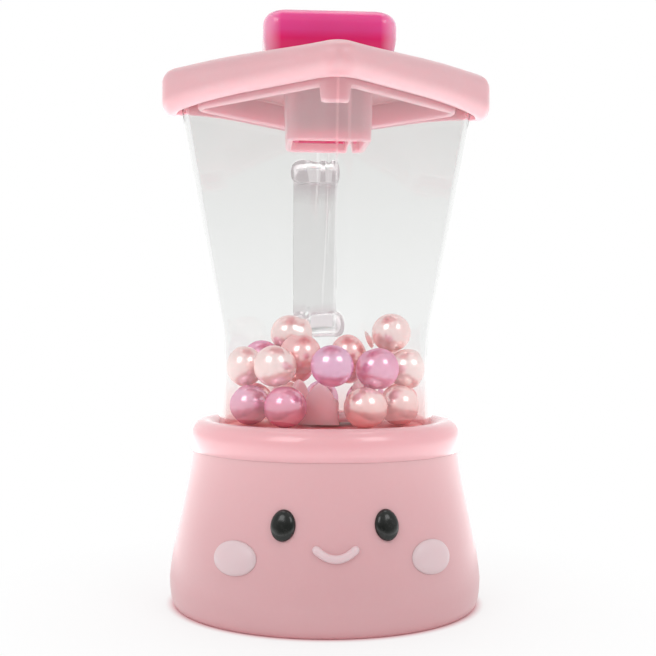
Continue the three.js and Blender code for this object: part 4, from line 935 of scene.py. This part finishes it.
def bead(name, turn):
    """A sphere with the faint raised line where its mould halves met, and a small dimple at its gate:
    radius = R (1 - 0.004 + 0.004 exp(-(latitude / 0.03)^2) - 0.02 exp(-(polar angle / 0.09)^2))."""
    low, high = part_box(name)
    centre = np.array((low + high) / 2)
    polar = np.linspace(0.03, np.pi - 0.03, 41)[:, None]
    angle = steps_round(56)
    seam = 0.004 * np.exp(-((polar - np.pi / 2) / 0.03) ** 2)
    gate = 0.02 * np.exp(-(polar / 0.09) ** 2)
    radius = BEAD_RADIUS * (0.996 + seam - gate)
    unit = np.stack([np.sin(polar) * np.cos(angle), np.sin(polar) * np.sin(angle),
                     np.cos(polar) + 0 * angle], -1)
    tilt, spin = turn
    ct, st, cs, ss = math.cos(tilt), math.sin(tilt), math.cos(spin), math.sin(spin)
    turned_axes = np.array([[cs, -ss * ct, ss * st], [ss, cs * ct, -cs * st], [0, st, ct]])
    return mesh_of(name + "_pearl", skin(centre + (radius[..., None] * unit) @ turned_axes.T))


# Lid and filler cap

def ears(angle):
    """Rise and drop of the band in each direction, by how far it is from the front or rear corner towards
    a side corner, |x| / (|x| + |y|): a smoothstep up to LID_RISE_END_SHARE, a square from
    LID_DROP_START_SHARE."""
    aside = np.abs(np.sin(angle)) / (np.abs(np.sin(angle)) + np.abs(np.cos(angle)))
    up = np.clip(aside / LID_RISE_END_SHARE, 0, 1)
    down = np.clip((aside - LID_DROP_START_SHARE) / (1 - LID_DROP_START_SHARE), 0, 1)
    return LID_EAR_RISE * up ** 2 * (3 - 2 * up), LID_EAR_DROP * down ** 2


def lid():
    """One moulding of nested rounded squares, followed from the tube's bore over the top, round the band,
    into the groove, round the skirt and down the tube. The band rises and drops towards the side corners.
    The skirt's lower edge dips at its front and rear corners by a superellipse, (1 - (x / half)^6)^(1/6)."""
    low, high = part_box("lid")
    bottom, top = low.z, high.z - LID_EAR_RISE
    plate, lip = top - LID_PLATE, top - LID_HEIGHT
    angle = directions()
    rise, drop = ears(angle)
    skirt_radius = corner_radius(SKIRT_REACH, SKIRT_CORNER, angle)
    across = np.clip(np.abs(skirt_radius * np.sin(angle)) / TAB_HALF, 0, 1)
    skirt_foot = lip - SKIRT_DROP - TAB_DROP * (1 - across ** 6) ** (1 / 6)

    # Each surface gives its radius, drawn in by an inset, and the height it is wanted at
    def outer(inset, at):
        return corner_radius(LID_REACH - inset, max(LID_CORNER - inset, LID_EDGE), angle), at

    def groove(inset, at):
        return corner_radius(GROOVE_REACH - inset, GROOVE_CORNER - inset, angle), at

    def skirt(inset, at):
        return corner_radius(SKIRT_REACH - inset, SKIRT_CORNER - inset, angle), at

    def tube(inset, at):
        half = TUBE_BOTTOM_HALF + (TUBE_TOP_HALF - TUBE_BOTTOM_HALF) * (at - bottom) / (plate - bottom)
        return square_radius(half - inset, TUBE_CORNER - inset, angle), at

    def bore(inset, at):
        return square_radius(TUBE_BOTTOM_HALF - TUBE_WALL - inset, TUBE_CORNER - TUBE_WALL, angle), at

    def from_side(shape, inset, level, wide, tall, turns):
        """Levels round a quarter ellipse that leaves a side and ends on a level."""
        return [shape(inset + wide * (1 - math.cos(t)), level + tall * (1 - math.sin(t))) for t in turns]

    def to_side(shape, inset, level, wide, tall, turns):
        """Levels round a quarter ellipse that leaves a level and ends on a side."""
        return [shape(inset + wide * (1 - math.sin(t)), level + tall * (1 - math.cos(t))) for t in turns]

    small, edge = LID_SMALL_EDGE, LID_PLATE_EDGE
    quarter, wide = np.linspace(0, np.pi / 2, 5), np.linspace(0, np.pi / 2, 15)
    rows = [
        bore(0, bottom + TUBE_EDGE), bore(0, top - small - SUPPORT),
        *from_side(bore, 0, top, -small, -small, quarter),
        bore(-small - LID_BORE_FLAT, top), outer(LID_RIM + LID_RIM_FLAT, top),
        *[outer(LID_EDGE + (LID_RIM - LID_EDGE) * (1 - t), top + rise * t ** 2 * (3 - 2 * t))
          for t in np.linspace(0, 1, 9)],
        *to_side(outer, 0, top + rise, LID_EDGE, -LID_EDGE, wide[1:]),
        outer(0, top + rise - LID_EDGE - SUPPORT), outer(0, lip - drop + LID_EDGE + SUPPORT),
        *from_side(outer, 0, lip - drop, LID_UNDER_WIDTH, LID_EDGE, wide),
        groove(-small - SUPPORT, lip - drop), *to_side(groove, 0, lip - drop, -small, small, quarter),
        groove(0, plate - GROOVE_EDGE), groove(GROOVE_EDGE, plate),
        skirt(-edge, plate), skirt(0, plate - edge), skirt(0, skirt_foot + SKIRT_EDGE + SUPPORT),
        *from_side(skirt, 0, skirt_foot, SKIRT_EDGE, SKIRT_EDGE, quarter),
        *to_side(skirt, SKIRT_WALL, skirt_foot, -SKIRT_EDGE, SKIRT_EDGE, quarter[1:]),
        skirt(SKIRT_WALL, plate - edge), skirt(SKIRT_WALL + edge, plate),
        tube(-edge, plate), tube(0, plate - edge), tube(0, bottom + TUBE_EDGE + SUPPORT),
        *from_side(tube, 0, bottom, TUBE_EDGE, TUBE_EDGE, quarter),
        *to_side(bore, 0, bottom, -TUBE_EDGE, TUBE_EDGE, quarter[:-1])]
    radius = np.stack([row[0] for row in rows])
    height = np.stack([row[1] + 0 * angle for row in rows])
    return mesh_of("pink_lid", skin(rings_of(radius, height, angle), closed=True))


def cap():
    """A dome over rounded rectangles: a foot that leans out, a straight side and a quarter round top, with
    the wall's inside following. A square plug hangs from its roof and is bored from below."""
    low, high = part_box("filler_cap")
    bottom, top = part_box("lid")[1].z - LID_EAR_RISE + CAP_GAP, high.z
    turn = np.linspace(0, np.pi / 2, 14)

    def levels(inset, crown):
        """The cap's rounded rectangles from the foot up, drawn in by an inset and closed in by a crown."""
        height = np.concatenate([bottom + CAP_FOOT_HEIGHT * CAP_FOOT_SHARES,
                                 top - inset - crown * (1 - np.sin(turn))])
        rise = np.clip((height - bottom) / CAP_FOOT_HEIGHT, 0, 1)
        shrink = CAP_FOOT_INSET * (1 - rise)
        shrink[len(CAP_FOOT_SHARES):] += crown * (1 - np.cos(turn))
        corner = np.maximum(CAP_CORNER - inset - shrink / 2, CAP_LEAST_CORNER)
        return rectangle_rings(CAP_HALF_X - inset - shrink, CAP_HALF_Y - inset - shrink, corner, height)

    inside = levels(CAP_WALL, CAP_ROUND - CAP_WALL / 2)[::-1]
    dome = skin(np.concatenate([inside, levels(0, CAP_ROUND)]))
    roof = top - CAP_WALL
    plug_half = CAP_PLUG_HALF - CAP_PLUG_INSETS
    plug = skin(rectangle_rings(plug_half, plug_half, CAP_PLUG_CORNER - CAP_PLUG_INSETS,
                                [*(low.z + CAP_PLUG_RISES), roof + CAP_PLUG_BURIED]))
    bore_half = np.full(2, CAP_PLUG_HALF - CAP_PLUG_WALL)
    bore = skin(rectangle_rings(bore_half, bore_half, np.full(2, CAP_BORE_CORNER),
                                [low.z - CAP_BORE_OVER, roof]))
    return joined("magenta_cap", dome, [plug], [bore])


# Face, laid on the casing's curve

def on_casing(turn, height, lift):
    """Points on the casing's side at an angle from the front and a height, moved out by lift."""
    radius = casing_radius(height) + lift
    return np.stack([radius * np.sin(turn), -radius * np.cos(turn), height + 0 * turn], -1)


def oval(name, side, shape):
    """A low dome over an oval on the casing, lift = proud (1 - rho^2.6)^0.5, closed by a sheet on the
    casing."""
    rho = np.sin(np.linspace(0.02, np.pi / 2, 26))[:, None]
    angle = steps_round(72)
    across = rho * shape["half_width"] * np.cos(angle)
    height = shape["height"] + rho * shape["half_height"] * np.sin(angle)
    turn = side * math.radians(shape["turn"]) + across / float(casing_radius(shape["height"]))
    lift = shape["proud"] * np.sqrt(np.maximum(0, 1 - rho ** 2.6)) + FACE_LIFT
    front = on_casing(turn, height, lift)
    back = on_casing(turn, height, FACE_LIFT + 0 * lift)[:-1][::-1]
    return mesh_of(name, skin(np.concatenate([front, back])))


def smile():
    """A round bead bent along a parabola on the casing, its ends drawn in by quarter circles."""
    along = np.sin(np.linspace(-np.pi / 2, np.pi / 2, 64))
    height = SMILE_HEIGHT - SMILE_DROP * (1 - along ** 2)
    turn = along * SMILE_HALF_WIDTH / casing_radius(height)
    middle = on_casing(turn, height, SMILE_LIFT)
    tangent = np.gradient(middle, axis=0)
    tangent /= np.linalg.norm(tangent, axis=1, keepdims=True)
    out = np.stack([np.sin(turn), -np.cos(turn), 0 * turn], -1)
    side = np.cross(tangent, out)
    length = np.concatenate([[0], np.cumsum(np.linalg.norm(np.diff(middle, axis=0), axis=1))])
    away = np.minimum(length, length[-1] - length)
    radius = SMILE_RADIUS * np.sqrt(1 - np.clip(1 - away / SMILE_RADIUS, 0, 0.9999) ** 2)
    angle = steps_round(28)[..., None]
    ring = radius[:, None, None] * (np.cos(angle) * out[:, None] + np.sin(angle) * side[:, None])
    return mesh_of("smile_bead", skin(middle[:, None] + ring))


# The pieces in their places

dressed("casing", casing(), base_pink, "base", "base_plastic", "base_shell", sharp_degrees=35)
dressed("rim", rim_ring(), ring_pink, "base", "ring_plastic", "rim_ring", sharp_degrees=35)
jar_mesh = jar()
dressed("clear_jar", jar_mesh, jar_clear, "jar", "clear_plastic", "jar", sharp_degrees=35)
mark_handle(jar_mesh)
dressed("jar_foot", jar_floor(), floor_pink, "jar", "ring_plastic", "jar_floor", sharp_degrees=40)
dressed("rotor", rotor(), blade_pink, "rotor", "blade_plastic", "blade_rotor", sharp_degrees=35)
dressed("pink_lid", lid(), lid_pink, "lid", "lid_plastic", "lid", sharp_degrees=40)
dressed("magenta_cap", cap(), cap_clear, "cap", "cap_plastic", "filler_cap", sharp_degrees=35)
for side, word in ((-1, "left_"), (1, "right_")):
    for part, shape, material, slot in (("eye", EYE, face_black, "black_plastic"),
                                        ("cheek", CHEEK, face_cream, "cream_plastic")):
        name = word + part
        dressed(name + "_dome", oval(name + "_dome", side, shape), material, "base", slot, name)
dressed("smile_bead", smile(), face_cream, "base", "cream_plastic", "smile")

# The beads' finishes from the first to the last, and how each bead is rolled
FINISHES = ("magenta lilac rose pale lilac pale pale rose magenta pale pale lilac magenta pale rose pale "
            "rose magenta pale pale rose rose").split()
random = np.random.default_rng(7)
for number, finish in enumerate(FINISHES, 1):
    name = f"bead_{number}"
    mesh = bead(name, random.uniform(0, np.pi, 2))
    dressed(name + "_pearl", mesh, pearls["pearl_" + finish], "jar", "pearl_" + finish, name)

# Solids that are shown as they are
finishes = {
    base_pink: ["bottom_cover", "battery_door"],
    dark_plastic: ["battery_box", "switch_body", "switch_slider", "drive_dog", "driven_dog"],
    white_plastic: ["motor_mount"],
    steel: ["cover_screw_1", "cover_screw_2", "cover_screw_3", "door_screw", "motor_can", "motor_shaft",
            "rotor_shaft", "lower_cell_spring", "upper_cell_spring"],
    brass: ["bridge_contact", "plus_terminal", "minus_terminal", "floor_bush"],
    cell_wrap: ["lower_cell", "upper_cell"],
    red_lead: ["plus_lead", "switch_lead"],
    black_lead: ["minus_lead"],
}
for material, names in finishes.items():
    for name in names:
        nodes[name].data.materials.clear()
        nodes[name].data.materials.append(material)


# Stage: a white floor that keeps the shadow close to the object, and soft light all round

def stage_floor():
    """A thin disc that is white to the eye at its rim and lit near the object, where the base's edge leaves a
    contact shadow and a painted pink bounce, pink painted on the floor next to the foot."""
    radius = np.linspace(0.0001, FLOOR_RADIUS, 8)[:, None]
    angle = steps_round(64)
    rings = rings_of(radius + 0 * angle, np.zeros(len(radius)), angle)
    below = rings[-1:] - np.array([0, 0, FLOOR_THICKNESS])
    mesh = mesh_of("floor", skin(np.concatenate([rings, below])))
    material, tree, _, shader, output = new_material("floor white", Roughness=0.6, Specular_IOR_Level=0.2)
    distance = node(tree, "VectorMath", {"operation": "LENGTH"}, Vector=own_place(tree)).outputs["Value"]
    # Painted light: the floor is pink next to the base's foot, standing for the base's pink bounce
    near = mapped(tree, distance, CASING_FOOT, FLOOR_CONTACT, 0, 1)
    tree.links.new(mixed(tree, near, (0.9, 0.5, 0.54, 1), (0.9, 0.9, 0.9, 1)), shader.inputs["Base Color"])
    far = mapped(tree, distance, FLOOR_CONTACT, FLOOR_WHITE_SHARE * FLOOR_RADIUS, FLOOR_NEAR_WHITE, 1.0)
    path = node(tree, "LightPath").outputs
    mirrored = larger(tree, path["Is Glossy Ray"], path["Is Transmission Ray"])
    seen = larger(tree, path["Is Camera Ray"], mirrored)
    share = times(tree, times(tree, near, far), seen)
    blended(tree, share, shader, node(tree, "Emission", Color=WHITE, Strength=1.0), output)
    mesh.materials.append(material)
    floor = object_of("floor", mesh)
    floor.location.z = -FLOOR_GAP


def lamp(name, place, width, power, depth=None):
    """A rectangular lamp, square without a depth, that looks at the object."""
    light = bpy.data.lights.new(name, "AREA")
    light.shape, light.size, light.size_y = "RECTANGLE", width, depth or width
    light.energy = power
    holder = object_of(name, light)
    holder.location = place
    holder.rotation_euler = (Vector(LAMP_AIM) - Vector(place)).to_track_quat("-Z", "Y").to_euler()


def surroundings():
    """White to the eye and through glass. As light, a pale room with a darker place at and above eye height
    in front: strength = room - (room - front) * front share * exp(-((height - middle) / band)^2), where room
    runs from below to above, and up to its value behind."""
    world = bpy.data.worlds.new("studio")
    bpy.context.scene.world = world
    world.use_nodes = True
    tree = world.node_tree
    tree.nodes.clear()
    _, y, z = node(tree, "SeparateXYZ", Vector=node(tree, "TexCoord").outputs["Generated"]).outputs
    rising = mapped(tree, z, -0.2, 0.1, WORLD_BELOW, WORLD_ABOVE)
    behind = mapped(tree, y, 0.1, 0.85, 0, WORLD_BACK - WORLD_ABOVE)
    room = plus(tree, rising, behind)
    frontal = mapped(tree, y, -0.95, -0.25, 1, 0)
    above = minus(tree, z, WORLD_DARK_MIDDLE)
    level = math_node(tree, "POWER", math_node(tree, "DIVIDE", above, WORLD_DARK_BAND), 2.0)
    band = math_node(tree, "POWER", EULER, times(tree, level, -1.0))
    dark = times(tree, times(tree, frontal, band), minus(tree, room, WORLD_FRONT))
    path = node(tree, "LightPath").outputs
    seen = larger(tree, path["Is Camera Ray"], path["Is Transmission Ray"])
    lit = node(tree, "Background", Color=WHITE, Strength=minus(tree, room, dark))
    white = node(tree, "Background", Color=WHITE, Strength=1.0)
    blended(tree, seen, lit, white, node(tree, "OutputWorld"))


stage_floor()
surroundings()
lamp("left box", (-0.42, -0.5, 0.55), 0.36, 1.2)
lamp("right box", (0.42, -0.48, 0.55), 0.3, 0.85)
lamp("top box", (0.0, 0.1, 0.8), 0.6, 1.05, depth=0.35)

camera = bpy.data.cameras.new("camera")
camera.lens, camera.sensor_width = CAMERA_LENS, 36
camera.shift_x, camera.shift_y = CAMERA_SHIFT_X, CAMERA_SHIFT_Y
camera.clip_start, camera.clip_end = 0.01, 20
eye = object_of("camera", camera)
eye.location = (-CAMERA_DISTANCE * math.sin(CAMERA_TURN), -CAMERA_DISTANCE * math.cos(CAMERA_TURN),
                CAMERA_HEIGHT)
eye.rotation_euler = (Quaternion((0, 0, 1), -CAMERA_TURN) @ Quaternion((1, 0, 0), math.pi / 2)
                      @ Quaternion((0, 0, 1), CAMERA_ROLL)).to_euler()
bpy.context.scene.camera = eye
bpy.context.scene.view_settings.view_transform = "Standard"
